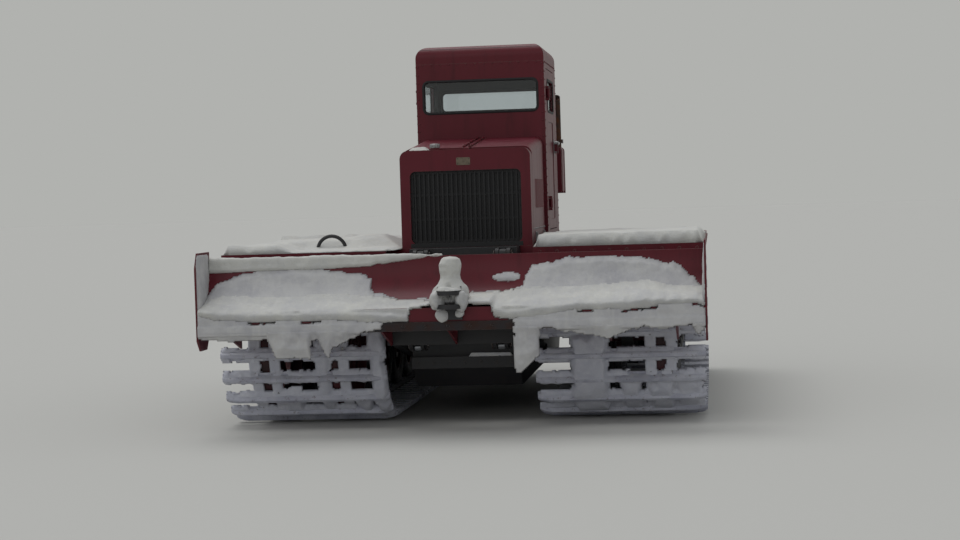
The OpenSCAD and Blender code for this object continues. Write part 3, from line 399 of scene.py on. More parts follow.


# %% [markdown]
# The bodywork is brushed crimson synthetic enamel over primed steel sheet, years in the weather: it is
# lighter and pinker on upward faces, runs darker where meltwater streaks it, and its edges are chipped to
# grey primer and rust. Inside the cab's room it is darkened to near-black as painted shade. Orange-peel
# ripple of a brushed coat is about 6 mm across.

# %% Paints
crimson = finish("crimson_enamel", "#540A18", 0.42, [
    ("noise", 900, 0.35, 0.7, 0.55, "#621122", 0.48),
    ("streak", 70, 0.5, 0.75, 0.5, "#3E0912", 0.55),
    # lighter, pinker colour on upward faces
    ("up", 240, 0.5, 0.95, 0.5, "#702839", 0.6),
    ("noise", 34, 0.66, 0.72, 0.45, "#3D0C14", 0.6),
    ("edge", 26, 0.36, 0.52, 0.85, "#63504A", 0.7),
    ("noise", 9, 0.735, 0.76, 0.7, "#7C6D66", 0.8),
    # painted shade: near-black inside the cab
    ("inside", 60, 0, 1, 1.0, "#232326", 0.75),
], [(180, 1.2), (6, 0.12)], **{"Specular IOR Level": 0.28, "Coat Weight": 0.08, "Coat Roughness": 0.25})
wheel_red = finish("crimson_wheel_enamel", "#4A0F18", 0.55, [
    ("noise", 160, 0.38, 0.6, 0.8, "#211B1D", 0.75),
    ("noise", 46, 0.6, 0.72, 0.5, "#6E6A6B", 0.9),
    ("edge", 20, 0.36, 0.5, 0.8, "#3B302D", 0.7),
], [(20, 0.5)])
# Chassis enamel: satin black on hot-rolled plate, dulled by road film, grey dust on upward faces. On the
# hull's front and the push frame under the blade the black is painted shade.
chassis_black_and_shade = finish("satin_black_chassis_enamel_and_shade", "#1E1E21", 0.5, [
    ("noise", 400, 0.4, 0.7, 0.5, "#2B2A2D", 0.62),
    ("streak", 60, 0.52, 0.74, 0.35, "#37322F", 0.7),
    ("up", 160, 0.6, 0.95, 0.5, "#4A484B", 0.8),
    ("edge", 22, 0.38, 0.52, 0.7, "#4F443E", 0.6),
], [(120, 0.8), (5, 0.12)])

# %% [markdown]
# Bare metals. Forged and rolled parts carry dark mill scale with rust in the hollows; the tracks' cross bars
# are rubbed bright and frosted by snow, and their pale bluish-lilac also holds painted light from the snow
# round them and a painted bluish shade tint; the lift rods are plated.

# %% Metals
scale_steel = finish("mill_scale_steel", "#343032", 0.55, [
    ("noise", 90, 0.42, 0.66, 0.6, "#472F27", 0.8),
    ("edge", 18, 0.36, 0.5, 0.8, "#8C8783", 0.35),
    ("noise", 12, 0.62, 0.7, 0.6, "#2A2422", 0.7),
], [(60, 0.6), (4, 0.15)], Metallic=0.75)
# pale bluish-lilac ground: frost plus painted bounce light and a painted bluish shade tint
frosted_steel_and_painted_light = finish("frosted_spring_steel_painted_light", "#A5A6B3", 0.55, [
    ("noise", 140, 0.4, 0.62, 0.75, "#C8C9D1", 0.85),
    ("up", 60, 0.2, 0.9, 0.8, "#C9CACD", 0.9),
    ("noise", 26, 0.58, 0.7, 0.6, "#6A5C57", 0.75),
], [(30, 0.6), (5, 0.2)], Metallic=0.35)
zinc = finish("zinc_plated_steel", "#9A9A9C", 0.4, [
    ("noise", 14, 0.45, 0.68, 0.6, "#6B6460", 0.65),
    ("noise", 5, 0.6, 0.7, 0.5, "#7A4A32", 0.85),
], [(3, 0.05)], Metallic=0.85)
plated_rod = finish("hard_chrome_rod", "#85878C", 0.2, [
    ("noise", 30, 0.45, 0.7, 0.6, "#56575A", 0.4),
    ("streak", 8, 0.55, 0.7, 0.4, "#707276", 0.3),
], [(2, 0.01)], Metallic=1.0)
engine_iron = finish("grey_cast_iron", "#4C4F52", 0.7, [
    ("noise", 150, 0.42, 0.66, 0.7, "#332E2A", 0.45),
    ("noise", 30, 0.55, 0.7, 0.5, "#6B4A36", 0.85),
], [(3, 0.4), (60, 1.0)], Metallic=0.6)
hot_steel = finish("heat_scaled_exhaust_steel", "#3B2F2A", 0.75, [
    ("noise", 60, 0.4, 0.65, 0.8, "#6A3C22", 0.9),
    ("streak", 30, 0.5, 0.7, 0.6, "#1D1918", 0.85),
], [(12, 0.5), (3, 0.2)], Metallic=0.5)
grille_black = finish("soot_black_grille_paint", "#161618", 0.6, [
    ("noise", 200, 0.45, 0.7, 0.5, "#202023", 0.75),
    ("edge", 16, 0.4, 0.55, 0.5, "#3A3A3E", 0.5),
], [(8, 0.2)])
plate_tan = finish("aged_brass_plate", "#74695A", 0.55, [
    ("noise", 25, 0.42, 0.66, 0.6, "#5C5246", 0.7),
    ("edge", 10, 0.3, 0.5, 0.6, "#8F8672", 0.4),
], [(4, 0.1)], Metallic=0.5)

# %% [markdown]
# Rubbers, seat cloth, glass and snow. Belt rubber is ribbed by its fabric plies; tyre rubber is
# smoother and greyed by frost; the seat is grained vinyl; the glass is plain plate with a haze.
# Packed snow is off-white and grainy and turns bluish grey low down as painted shade; the snow in the tracks
# is tinted bluish all over as painted shade.

# %% Rubber, vinyl, glass and snow
belt_rubber = finish("ply_belt_rubber", "#1F1F22", 0.8, [
    ("noise", 80, 0.42, 0.66, 0.6, "#34343A", 0.9),
    ("up", 50, 0.3, 0.9, 0.75, "#9C9DA6", 0.95),
], [(14, 0.8), (3, 0.3)])
tyre_rubber = finish("frosted_tyre_rubber", "#242427", 0.78, [
    ("noise", 130, 0.42, 0.68, 0.6, "#3E3E42", 0.9),
    ("noise", 60, 0.52, 0.72, 0.5, "#85868C", 0.95),
], [(10, 0.4), (2, 0.15)])
seal_rubber = finish("window_seal_rubber", "#131315", 0.65, [
    ("noise", 40, 0.45, 0.7, 0.5, "#26262A", 0.8),
], [(6, 0.15)])
vinyl = finish("grained_seat_vinyl", "#2B282A", 0.5, [
    ("noise", 160, 0.42, 0.7, 0.5, "#3A3536", 0.6),
    ("edge", 20, 0.35, 0.5, 0.5, "#57504E", 0.6),
], [(1.6, 0.25), (30, 0.6)])
glass = finish("plate_window_glass", "#E8EEF0", 0.02, [
    ("noise", 220, 0.5, 0.8, 0.35, "#D5DADF", 0.12),
], **{"Transmission Weight": 1.0, "IOR": 1.5})


def snow_finish(name, ground, rough, layers, bumps, glow, gleam):
    """Snow lets some light through, blue farthest."""
    through = {"Subsurface Weight": glow, "Subsurface Radius": (0.02, 0.022, 0.026)}
    return finish(name, ground, rough, layers, bumps, **through, **{"Specular IOR Level": gleam})


snow = snow_finish("packed_snow", "#BFBEB8", 0.85, [
    ("noise", 260, 0.42, 0.68, 0.6, "#B0B0B0", 0.9),
    ("noise", 60, 0.52, 0.72, 0.5, "#CCCBC6", 0.8),
    # painted shade: snow below about 1 m turns bluish grey
    ("low", 90, 1.05, 0.7, 0.5, "#9E9EA6", 0.9),
], [(70, 6.0), (14, 2.4), (4, 0.8)], 0.12, 0.35)
# painted shade: the track snow's bluish tint
track_snow_blue_shade = snow_finish("pressed_track_snow_blue_shade", "#BFC0C8", 0.85, [
    ("noise", 140, 0.42, 0.68, 0.6, "#AEAFBA", 0.9),
    ("noise", 50, 0.52, 0.72, 0.5, "#CFCFD4", 0.8),
], [(60, 5.0), (12, 2.2), (4, 0.8)], 0.1, 0.35)
# painted shade: a greyer copy of the snow, for snow lying in the blade's shade
shaded_blown_snow = snow_finish("plastered_blown_snow", "#BBBAB9", 0.9, [
    ("noise", 180, 0.4, 0.68, 0.7, "#A3A2A6", 0.95),
    ("streak", 60, 0.5, 0.72, 0.5, "#C4C3BF", 0.85),
], [(90, 5.0), (16, 2.0), (4, 0.7)], 0.1, 0.3)
dial_white = finish("gauge_face_enamel", "#C9C7BC", 0.4, [
    ("noise", 30, 0.45, 0.7, 0.4, "#B5B1A2", 0.5),
], [(2, 0.02)])
hand_red = finish("gauge_hand_enamel", "#A03A22", 0.4, [
    ("noise", 6, 0.45, 0.7, 0.4, "#7A2A1A", 0.5),
], [(2, 0.02)])
cab_mat = finish("ribbed_floor_rubber", "#1A1A1C", 0.85, [
    ("noise", 60, 0.45, 0.7, 0.6, "#3A3A3C", 0.95),
], [(9, 1.2)])
print(len(bpy.data.materials), "materials")

# %% [markdown]
# The CAD solids keep their shapes and take these finishes by what they are made of.

# %% Finishes on the CAD pieces
# a name that ends in _ stands for the left and the right piece
WEARS = {
    crimson: "radiator_shell hood_ cab_front cab_rear cab_ cab_roof door_ blade silencer_box deck_",
    # painted shade: the push frame and the hull's front under the blade take black for their shade
    chassis_black_and_shade: "push_frame chassis_hull cross_tubes track_frame_ cab_floor rear_locker rear_hitch "
                   "tow_jaw barrel_ grab_hoop sprocket_ controls",
    grille_black: "radiator_grille",
    wheel_red: "road_wheels_",
    engine_iron: "engine_block",
    glass: "cab_glass door_glass_",
    hot_steel: "exhaust",
    plated_rod: "rod_",
    tyre_rubber: "tyres_",
    frosted_steel_and_painted_light: "track_",
    vinyl: "seat_cushion seat_back",
}
dressed = 0
for material, names in WEARS.items():
    for name in names.split():
        for full in (name + "left", name + "right") if name[-1] == "_" else (name,):
            worn = nodes[full].data.materials
            if len(worn) == 0:
                worn.append(material)
            for k in range(len(worn)):
                worn[k] = material
            dressed += 1
print(dressed, "of", len(nodes), "CAD pieces dressed")

SLOT = {
    crimson: "red_paint", chassis_black_and_shade: "black_paint", grille_black: "black_paint", plate_tan: "black_paint",
    scale_steel: "dark_steel", zinc: "dark_steel", frosted_steel_and_painted_light: "track_steel", belt_rubber: "tyre_rubber",
    tyre_rubber: "tyre_rubber", seal_rubber: "tyre_rubber", vinyl: "seat_vinyl",
}

# %% [markdown]
# Each track is four rubber belts in two pairs, with pressed steel bars bolted across them. The
# belts follow the same four turns as in the CAD model, so a point is found from its distance
# along the loop. The bars are hat-shaped, with flanges on the belts and ends that taper off.

# %% The belts' path and the tracks
TRACK_MID, WHEEL_MID, PAIR = 1100, 1133, 243
BELT_STEP, BELT_WIDE, BELT_THICK = 70, 70, 12
BARS = 55
# share of a pitch by which each side's bars are turned
SHIFT = {1: 0.03, -1: 0.76}
# station, height and radius of the belt's inside at each turn
TURNS = np.array([[1062, 548, 470], [1805, 352, 280], [3560, 352, 280], [4220, 600, 400]], float)
BELTS = [WHEEL_MID + a * PAIR + b * BELT_STEP for a in (-1, 1) for b in (-1, 1)]


def loop_parts():
    """Facing angle of each run, atan2(dz, ds) - acos((r1 - r2) / length), the arcs' and runs' lengths."""
    after = np.roll(TURNS, -1, 0)
    span, drop = (after - TURNS)[:, :2], (TURNS - after)[:, 2]
    length = np.hypot(*span.T)
    face = np.arctan2(span[:, 1], span[:, 0]) - np.arccos(drop / length)
    arc = (TURNS[:, 2] + BELT_THICK) * ((face - np.roll(face, 1)) % (2 * math.pi))
    return face, arc, np.sqrt(length**2 - drop**2)


def on_loop(x, distance, out):
    """Points (x, s, z) out mm beyond the belt's inside, and the angle that each faces.

    Arcs are hub + (r + out) (cos a, sin a), runs their tangents.
    """
    face, arc, run = loop_parts()
    start = np.concatenate([[0], np.cumsum(arc + run)])
    x, distance, out = np.broadcast_arrays(x, np.asarray(distance) % start[-1], out)
    i = np.searchsorted(start, distance, side="right") - 1
    rest = distance - start[i]
    a = np.where(rest < arc[i], np.roll(face, 1)[i] + rest / (TURNS[i, 2] + BELT_THICK), face[i])
    past = np.maximum(rest - arc[i], 0)
    s = TURNS[i, 0] + (TURNS[i, 2] + out) * np.cos(a) - past * np.sin(a)
    z = TURNS[i, 1] + (TURNS[i, 2] + out) * np.sin(a) + past * np.cos(a)
    return np.stack([x, s, z], -1), a


LOOP = float(sum(v.sum() for v in loop_parts()[1:]))
HALF_HAT = [(39, 0), (39, 8), (25, 11), (18, 50), (11, 58)]
HAT = np.array([(-u, v) for u, v in HALF_HAT] + HALF_HAT[::-1], float)


def feet(side):
    """Each bar's distance along the loop."""
    return (np.arange(BARS) + SHIFT[side]) * LOOP / BARS


def bars(side):
    """Hat sections at six places across each bar, lower toward its two ends, closed by end faces."""
    across = np.array([-583, -560, -500, 500, 560, 583])
    tall = np.array([0.45, 0.75, 1, 1, 0.75, 0.45])
    p, a = on_loop(0, feet(side), BELT_THICK)
    cos, sin = np.cos(a)[:, None, None], np.sin(a)[:, None, None]
    u, v = HAT.T
    v = np.where(v > 12, 12 + (v - 12) * tall[:, None], v)
    s = p[:, 1, None, None] - u * sin + v * cos
    z = p[:, 2, None, None] + u * cos + v * sin
    q = at(side * (TRACK_MID + across)[None, :, None], s, z)
    n, m = len(across), len(HAT)
    walls = quads(n, m, False, True)
    caps = np.stack([np.arange(m), np.arange(m) + (n - 1) * m])
    step = (np.arange(BARS) * n * m)[:, None, None]
    return [(q, (walls + step).reshape(-1, 4)), (q, (caps + step).reshape(-1, m))]


def track(side, name):
    """Bars, belts as rounded strips round the loop, and two bolts through each bar's flanges at each belt."""
    d = np.linspace(0, LOOP, 240, endpoint=False)
    strip = rounded_outline(-BELT_WIDE / 2, -BELT_THICK / 2, BELT_WIDE / 2, BELT_THICK / 2, 4, 3) * MM
    belts = []
    for x in BELTS:
        p, a = on_loop(side * x, d, BELT_THICK / 2)
        outward = np.stack([0 * a, np.cos(a), np.sin(a)], -1)
        belts += along(at(*p.T), strip, outward, ring=True)
    made = piece(f"track_bars_{name}", bars(side), frosted_steel_and_painted_light, 35)
    rubber = piece(f"track_belts_{name}", belts, belt_rubber, 35)
    flanges = feet(side)[:, None] + np.array([-31, 31])
    p, a = on_loop(side * np.array(BELTS)[:, None, None], flanges, BELT_THICK + 8)
    outward = np.stack([0 * a, np.cos(a), np.sin(a)], -1).reshape(-1, 3)
    bolts = repeat(hexagon_head(18, 9), at(*p.reshape(-1, 3).T), outward)
    piece(f"track_bolts_{name}", bolts, zinc, 30, slot="track_steel")
    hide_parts(f"track_{name}")
    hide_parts(f"track_{name}")


for side, name in SIDES:
    track(side, name)

# %% [markdown]
# Tyres and wheels. A tyre's profile has a rounded shoulder, three grooves and a bead at the rim;
# it is turned about its axle. Six nuts hold each rim, and a pressed cap closes each hub.

# %% Tyres and wheel nuts
WHEELS = [(1805 + 585 * k, 352) for k in range(4)]
IDLER = (1062, 548)
HALF_TYRE = [(176, -60), (182, -70), (205, -76), (240, -77), (262, -72), (275, -60), (279, -46), (279, -34),
             (270, -32), (270, -28), (279, -26), (279, -4), (270, -3)]
TYRE = HALF_TYRE + [(r, -h) for r, h in HALF_TYRE[::-1]] + [(175, 0), HALF_TYRE[0]]
CAP = [(0, 18), (22, 17), (40, 12), (46, 4), (46, -4)]


def running_gear(side, name):
    """Every wheel of one side gets its two tyres, its nuts on a circle and its hub caps."""
    rubber, nuts, caps = [], [], []
    cos, sin = circle(6, 100).T
    for s, z in WHEELS:
        for way in (-1, 1):
            x = WHEEL_MID + way * PAIR
            rubber += turned(TYRE, at(side * x, s, z), (side, 0, 0), 40)
            places = at(side * (x + way * 12), s + cos, z + sin)
            nuts += repeat(hexagon_head(24, 16), places, (side * way, 0, 0))
    for s, z in WHEELS + [IDLER]:
        caps += turned(CAP, at(side * (WHEEL_MID + PAIR + 90), s, z), (side, 0, 0), 20)
    tyre = piece(f"tyre_treads_{name}", rubber, tyre_rubber, 30)
    piece(f"wheel_nuts_{name}", nuts, zinc, 30)
    piece(f"axle_caps_{name}", caps, chassis_black_and_shade, 30, slot="dark_steel")
    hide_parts(f"tyres_{name}")


for side, name in SIDES:
    running_gear(side, name)

# %% [markdown]
# Snow lies where it does in the picture: a bank along the blade's ledge, blown snow plastered in its hollow,
# a ragged fringe under it, a coat on the tow post, slabs on both decks and packed snow in the tracks. The
# plaster, the band and fringe under the bank and the snow on the end plates are greyer than the bank as
# painted shade. A patch of snow is two grids of points, the surface that it lies on and its own top; cells
# without thickness are left out, and at the rim the grids meet.

# %% Snow as two grids that meet at the rim
def opened(full, reach):
    """The part of a patch that a disc of cells fits in: worn down to the disc's centres, then grown back."""
    cells = np.arange(-reach, reach + 1)
    disc = np.hypot(*np.meshgrid(cells, cells)) <= reach + 0.3

    def around(grid):
        return np.lib.stride_tricks.sliding_window_view(np.pad(grid, reach), disc.shape)[..., disc]

    return around(around(full).all(-1)).any(-1)


def caked(name, under, top, deep, material, body=BLADE):
    """A closed shell between the grids under and top, kept where the thickness deep is above 0."""
    deep = np.pad(deep[1:-1, 1:-1], 1)
    top = np.where(deep[..., None] > 0, top, under)
    full = deep > 0
    cells = (full[:-1, :-1] | full[1:, :-1] | full[:-1, 1:] | full[1:, 1:]).ravel()
    faces = quads(*deep.shape)[cells]
    return piece(name, [(under, faces), (top, faces)], material, 180, body, merge=1e-5)


def on_top(name, x, s, z, deep, body=CHASSIS):
    """Snow lying on a flat place at height z."""
    caked(name, at(x, s, z), at(x, s, z + deep), deep, snow, body)


def bump(u):
    """A smooth hump, sin(pi u) between 0 and 1 and nothing outside."""
    return np.sin(math.pi * np.clip(u, 0, 1))


# %% [markdown]
# The blade's snow is drawn over x and height. The mouldboard's face is an arc above the ledge,
# s = sqrt(335^2 - (1185 - z)^2), and s = 0 below it. The edges are read off the picture as heights
# at a few x, right side of the machine first, and roughened by noise.

# %% Snow on the blade
# radius and centre height of the mouldboard's arc, its ledge and the inside of the end plates
BOW, BOW_TOP, LEDGE, BLADE_END = 335.0, 1185, 850, 1690
ACROSS, UP = np.meshgrid(np.arange(-BLADE_END, BLADE_END + 1, 10.0), np.arange(398, 1172, 9.0))
ROUGH = grains(at(ACROSS, MID, UP), (140, 48, 20), 3)


def bow(z):
    """Station of the mouldboard's face at a height above the ledge."""
    return np.sqrt(np.maximum(BOW**2 - (BOW_TOP - z) ** 2, 0))


TROUGH = np.where(UP < LEDGE, 0, bow(UP))


def on_blade(name, station, deep, material):
    """Snow of a given depth in front of a surface over the blade's width and height."""
    return caked(name, at(ACROSS, station, UP), at(ACROSS, station - deep, UP), deep, material)


def edge(points, rough=1.0):
    """Height of an edge over the blade's width, straight between its points and roughened."""
    x, z = zip(*points)
    return np.interp(ACROSS, x, z) + rough * (9 * ROUGH[1] + 5 * ROUGH[2])


PLASTER_TOP = [(-1700, 925), (-1620, 1034), (-1514, 1077), (-1335, 1108), (-1000, 1121), (-797, 1096),
               (-610, 1070), (-560, 1040), (-548, 960), (-365, 900), (-130, 900), (0, 860), (135, 935),
               (360, 935), (480, 965), (500, 1045), (545, 1108), (666, 1125), (790, 1151), (1040, 1151),
               (1286, 1138), (1409, 1110), (1531, 1095), (1640, 975), (1700, 940)]
CREST = [(-1700, 925), (-1560, 953), (-1318, 936), (-962, 939), (-726, 947), (-547, 929), (-365, 896),
         (-130, 890), (0, 855), (135, 930), (360, 930), (560, 958), (900, 962), (1180, 978), (1300, 992),
         (1440, 955), (1700, 938)]
BANK_LOW = [(-1690, 832), (-1559, 794), (-1349, 780), (-847, 780), (-430, 757), (-269, 765), (-252, 844),
            (-105, 872), (80, 862), (285, 861), (308, 787), (417, 760), (563, 775), (856, 812), (1145, 806),
            (1386, 828), (1638, 840), (1690, 815)]
# stretches where red paint shows between the bank and the band under it
BARE = [(-1349, -1150), (-986, -847), (856, 965), (1145, 1386), (1600, 1690)]
FRINGE = [(-1690, 690), (-1600, 667), (-1393, 662), (-1216, 670), (-1162, 542), (-940, 537), (-925, 652),
          (-878, 662), (-812, 535), (-787, 603), (-693, 636), (-574, 700), (-500, 712), (430, 712),
          (441, 420), (465, 405), (590, 520), (604, 700), (657, 708), (802, 677), (959, 650), (1043, 623),
          (1165, 669), (1286, 706), (1405, 676), (1600, 708), (1643, 640), (1690, 690)]

crest, low_edge = edge(CREST, 0.6), edge(BANK_LOW, 0.5)
plaster_top = edge(PLASTER_TOP, 0.7)
plaster_top += np.where(ACROSS > 1380, 34 * lumps(at(ACROSS, MID, 0 * UP), 34, 8), 0)
rise = (UP - low_edge) / np.maximum(crest - low_edge, 1)
shelf = bow(np.maximum(crest, LEDGE)) - 24
front = shelf * np.clip((rise - 0.28) / 0.72, 0, 1) ** 1.25
front -= (32 + 9 * ROUGH[0] + 5 * ROUGH[1]) * bump(rise / 0.72) ** 0.6
bank = np.where((rise > 0) & (rise < 1.04), np.maximum(TROUGH - front, 6), 0)
on_blade("snow_bank", TROUGH, bank, snow)

coat = np.clip((plaster_top - UP) * 0.7, 0, 25) * (1 + 0.25 * ROUGH[0]) + 2.5 * ROUGH[1] + 1.5 * ROUGH[2]
coat = np.where((UP < plaster_top) & (UP > crest - 20), np.maximum(coat, 0), 0)
patch = 17 * (1 - ((ACROSS - 362) / 98) ** 2 - ((UP - 1030) / 27) ** 2 + 0.3 * ROUGH[1])
coat = np.where(patch > 0, patch, coat)
on_blade("snow_plaster", TROUGH, coat, shaded_blown_snow)

bare = sum(((ACROSS > a) & (ACROSS < b)).astype(float) for a, b in BARE)
band_top = low_edge + 8 - 22 * bare
fringe = edge(FRINGE, 0.9)
open_middle = np.abs(ACROSS + 5) > 436 + 14 * ROUGH[1] + 7 * ROUGH[2]
band = np.clip(19 + 7 * ROUGH[0] + 5 * ROUGH[1] + 2 * ROUGH[2], 6, 40)
strip = 13 * np.clip((766 - UP) / 9, 0, 1)
cover = np.where(open_middle & (UP < band_top) & (UP > np.maximum(fringe, 689)), band, 0)
on_blade("snow_band", -strip, cover, shaded_blown_snow)

drop = np.clip(712 - UP, 0, None)
half = np.clip((UP - fringe) * 0.45, 0, 27) * (1 + 0.25 * ROUGH[1] + 0.1 * ROUGH[2])
plane = -6 + 0.10 * drop - 0.5 * band + 12 * np.clip(drop / 60, 0, 1)
hung = np.where(open_middle & (UP < 716) & (UP > fringe), 2 * half, 0)
hanging = on_blade("snow_fringe", plane + half, hung, shaded_blown_snow)
# the longest lumps would reach under the floor with the blade down, where real ones crumble
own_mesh(hanging)

# over the right half's top edge, from the front down over the back: station, height and the way
# in which the snow grows, in degrees
RIM = np.array([(319.4, 1084, 180), (326, 1108, 180), (331.2, 1135, 180), (334.1, 1160, 178),
                (334.9, 1176, 165), (336, 1185, 130), (347, 1185, 90), (358, 1185, 75), (367, 1181, 45),
                (371, 1172, 10)], float)
run = np.concatenate([[0], np.cumsum(np.hypot(*np.diff(RIM[:, :2], axis=0).T))])
x, d = np.meshgrid(np.arange(-1688, -60, 9.0), np.linspace(0, run[-1], 44))
s, z, way = (np.interp(d, run, values) for values in RIM.T)
n = grains(at(x, s, z), (150, 50, 22), 51)
hang = np.interp(x, [-1688, -1000, -560, -400, -200, -90], [76, 72, 60, 38, 16, 0]) + 8 * n[0] + 5 * n[1]
load = (20 + 6 * n[0] + 4 * n[1] + 2 * n[2]) * np.sqrt(np.clip((z - BOW_TOP + hang) / 22, 0, 1))
load *= np.clip((run[-1] - d) / 12, 0, 1)
way = np.radians(way)
top = at(x, s + load * np.cos(way), z + load * np.sin(way))
caked("snow_top_edge", at(x, s, z), top, load, snow)

S, Z = np.meshgrid(np.arange(-6, 366, 8.0), np.arange(800, 1256, 8.0))
for side, name in SIDES:
    n = grains(at(side * BLADE_END, S, Z), (150, 50, 22), 41 + side)
    inside = np.minimum(np.minimum(S, 352 - S), np.minimum(Z - 806, 1246 - Z))
    inside -= np.maximum(0, 60 - S - (1250 - Z) * 0.6)
    cover = np.clip(inside / 18, -1, 1) * (15 + 5 * n[1] + 3 * n[2])
    cover *= np.clip(1.25 - (Z - 900) / 420 + 0.9 * n[0], -1, 1)
    cover = np.where(cover > 2, cover, 0)
    under, top = at(side * 1690.5, S, Z), at(side * (1690.5 - cover), S, Z)
    caked(f"snow_end_plate_{name}", under, top, cover, shaded_blown_snow)

# %% [markdown]
# The tow post stands in a white coat, round on top, wide where it runs out over the jaw, and
# grooved in front. It is a profile of radii over height, turned about the post and roughened.

# %% Snow on the tow post and jaw
POST = (20, 50)
POST_COAT = [(1186, 4), (1184, 36), (1168, 62), (1130, 74), (1090, 73), (1062, 66), (1040, 68), (1012, 88),
             (985, 112), (950, 126), (915, 124), (890, 104), (872, 60), (866, 10)]
tall, wide = np.array(POST_COAT, float).T
level = np.linspace(tall[-1], tall[0], 60)
radius = np.interp(level, tall[::-1], wide[::-1])
ROUND = 72
t = np.arange(ROUND) * 2 * math.pi / ROUND
groove = np.exp(-(((t - 1.5 * math.pi) / 0.16) ** 2))[None] * bump((level - 872) / 150)[:, None]
shell = radius[:, None] * (1 - 0.42 * groove)
p = at(POST[0] + shell * np.cos(t), POST[1] + shell * np.sin(t), level[:, None] + 0 * t)
p[..., :2] += (p[..., :2] - at(*POST, 0)[:2]) * (0.10 * lumps(p, 60, 4) + 0.05 * lumps(p, 24, 5))[..., None]
p[0], p[-1] = p[0].mean(0), p[-1].mean(0)
piece("snow_post_coat", [skin(p)], snow, 180, BLADE, merge=1e-5)

XS, SS = np.meshgrid(np.arange(-64, 105, 6.0), np.arange(-154, 30, 6.0))
round_front = 80**2 - (XS - 20) ** 2 - np.minimum(SS + 70, 0) ** 2
pad = np.clip(round_front / 90, 0, 26) * (0.8 + 0.35 * lumps(at(XS, SS, 0), 40, 6))
pad = np.where(round_front > 0, pad, 0)
on_top("snow_jaw_pad", XS, SS, 965, pad, BLADE)


def clump(place, radii, seed):
    """An ellipsoid with radii (x, s, z) round place, its distance from the centre roughened by noise."""
    down, round_ = np.meshgrid(np.linspace(0, math.pi, 26), np.arange(40) * 2 * math.pi / 40, indexing="ij")
    ball = np.stack([np.sin(down) * np.cos(round_), np.sin(down) * np.sin(round_), np.cos(down)], -1) * radii
    p = at(*np.moveaxis(ball + place, -1, 0))
    grown = 1 + 0.22 * lumps(p, 60, seed) + 0.10 * lumps(p, 22, seed + 1)
    p = at(*place) + (p - at(*place)) * grown[..., None]
    p[0], p[-1] = p[0].mean(0), p[-1].mean(0)
    return [skin(p)]


cheeks = clump((-62, -62, 905), (46, 70, 74), 31) + clump((98, -52, 900), (40, 62, 66), 33)
cheeks += clump((-30, -20, 800), (44, 26, 40), 35) + clump((84, -22, 812), (30, 24, 30), 37)
piece("snow_jaw_cheeks", cheeks, snow, 180, BLADE, merge=1e-5)

# %% [markdown]
# Snow on the decks stays under the doors and slopes away from the hood's lower edge, so that both
# can open. The slab on the machine's left has a flat top and a cut front; on the other side
# it lies in a mound round the grab hoop.

# %% Snow on the decks, the hull's ledge and the hood's corner
def field(x0, x1, s0, s1, step, seed):
    """A grid over x and station with three sizes of noise on it."""
    x, s = np.meshgrid(np.arange(x0, x1 + 1, step), np.arange(s0, s1 + 1, step))
    return x, s, grains(at(x, s, 0), (420, 130, 45), seed)


def hem(x, s, x0, x1, s0, s1, width, rough):
    """0 at the rectangle's rim, rising to 1 within width, with a roughened rim."""
    inside = np.minimum(np.minimum(x - x0, x1 - x), np.minimum(s - s0, s1 - s)) + rough
    return np.clip(inside / width, 0, 1)


DECK_TOP = 1215
HOOP_X, HOOP_S = 700, 1540
# the hood's and the doors' lower edges: x, and the stations from which and to which they run
HOOD_EDGE, DOOR_EDGE, FREE = (478, 1240, 2300), (540, 2200, 3420), 400


def kept_under(x, s, edge_x, first, last, base, slope):
    """The greatest depth beside an edge, rising outward from it, and free before and behind it."""
    return np.where((s > first) & (s < last), base + slope * (x - edge_x), FREE)


for (side, name), thick, start in zip(SIDES, (84, 64), (520, 480)):
    x, s, n = field(388, 1692, 700, 4560, 20, 10 + side)
    deep = thick + 9 * n[0] + 5 * n[1] + 2.5 * n[2]
    if side < 0:
        deep += 48 * np.exp(-(((x - HOOP_X) / 260) ** 2) - ((s - HOOP_S) / 210) ** 2)
        deep -= 10 * np.clip((x - 1200) / 300, 0, 1)
        before = np.clip((s - 1215 - 25 * n[1]) / 110, 0, 1) + np.clip((x - 1190 - 30 * n[1]) / 120, 0, 1)
        deep = np.where(s < 1400, 16 + 5 * n[1] + (deep - 16) * np.clip(before, 0, 1), deep)
    deep = np.where(s > 1800, np.minimum(deep, 74), deep)
    thin = deep * np.clip((3100 - s) / 600, 0.0, 1) + 30 * n[0] + 14 * n[1] + 4
    deep = np.where(s > 2500, thin, deep)
    deep *= hem(x, s, start, 1684, 706, 4540, 26, 9 * n[2])
    deep = np.minimum(deep, kept_under(x, s, *HOOD_EDGE, 4, 0.58))
    deep = np.maximum(np.minimum(deep, kept_under(x, s, *DOOR_EDGE, 0, 0.8)), 0)
    deep = np.where(opened(deep > 0, 3), deep, 0)
    on_top(f"snow_deck_{name}", side * x, s, DECK_TOP, deep)

x, s, n = field(24, 336, 838, 902, 6, 5)
ledge = 20 * hem(x, s, 28, 332, 841, 899, 14, 4 * n[2]) * (1 + 0.3 * n[1])
on_top("snow_hull_ledge", x, s, 455, ledge)

x, s, n = field(-420, -258, 1150, 1290, 6, 7)
corner = 22 * hem(x, s, -410, -264, 1156, 1284, 30, 6 * n[2]) * (1 + 0.4 * n[1])
on_top("snow_shell_corner", x, s, 1915, corner)

# %% [markdown]
# In the tracks the snow is packed between the belts, lies as a film on them and rounds off the
# bars' flanks. It is drawn over x and the distance along the loop, round the front, up to just
# under the bars' crests.

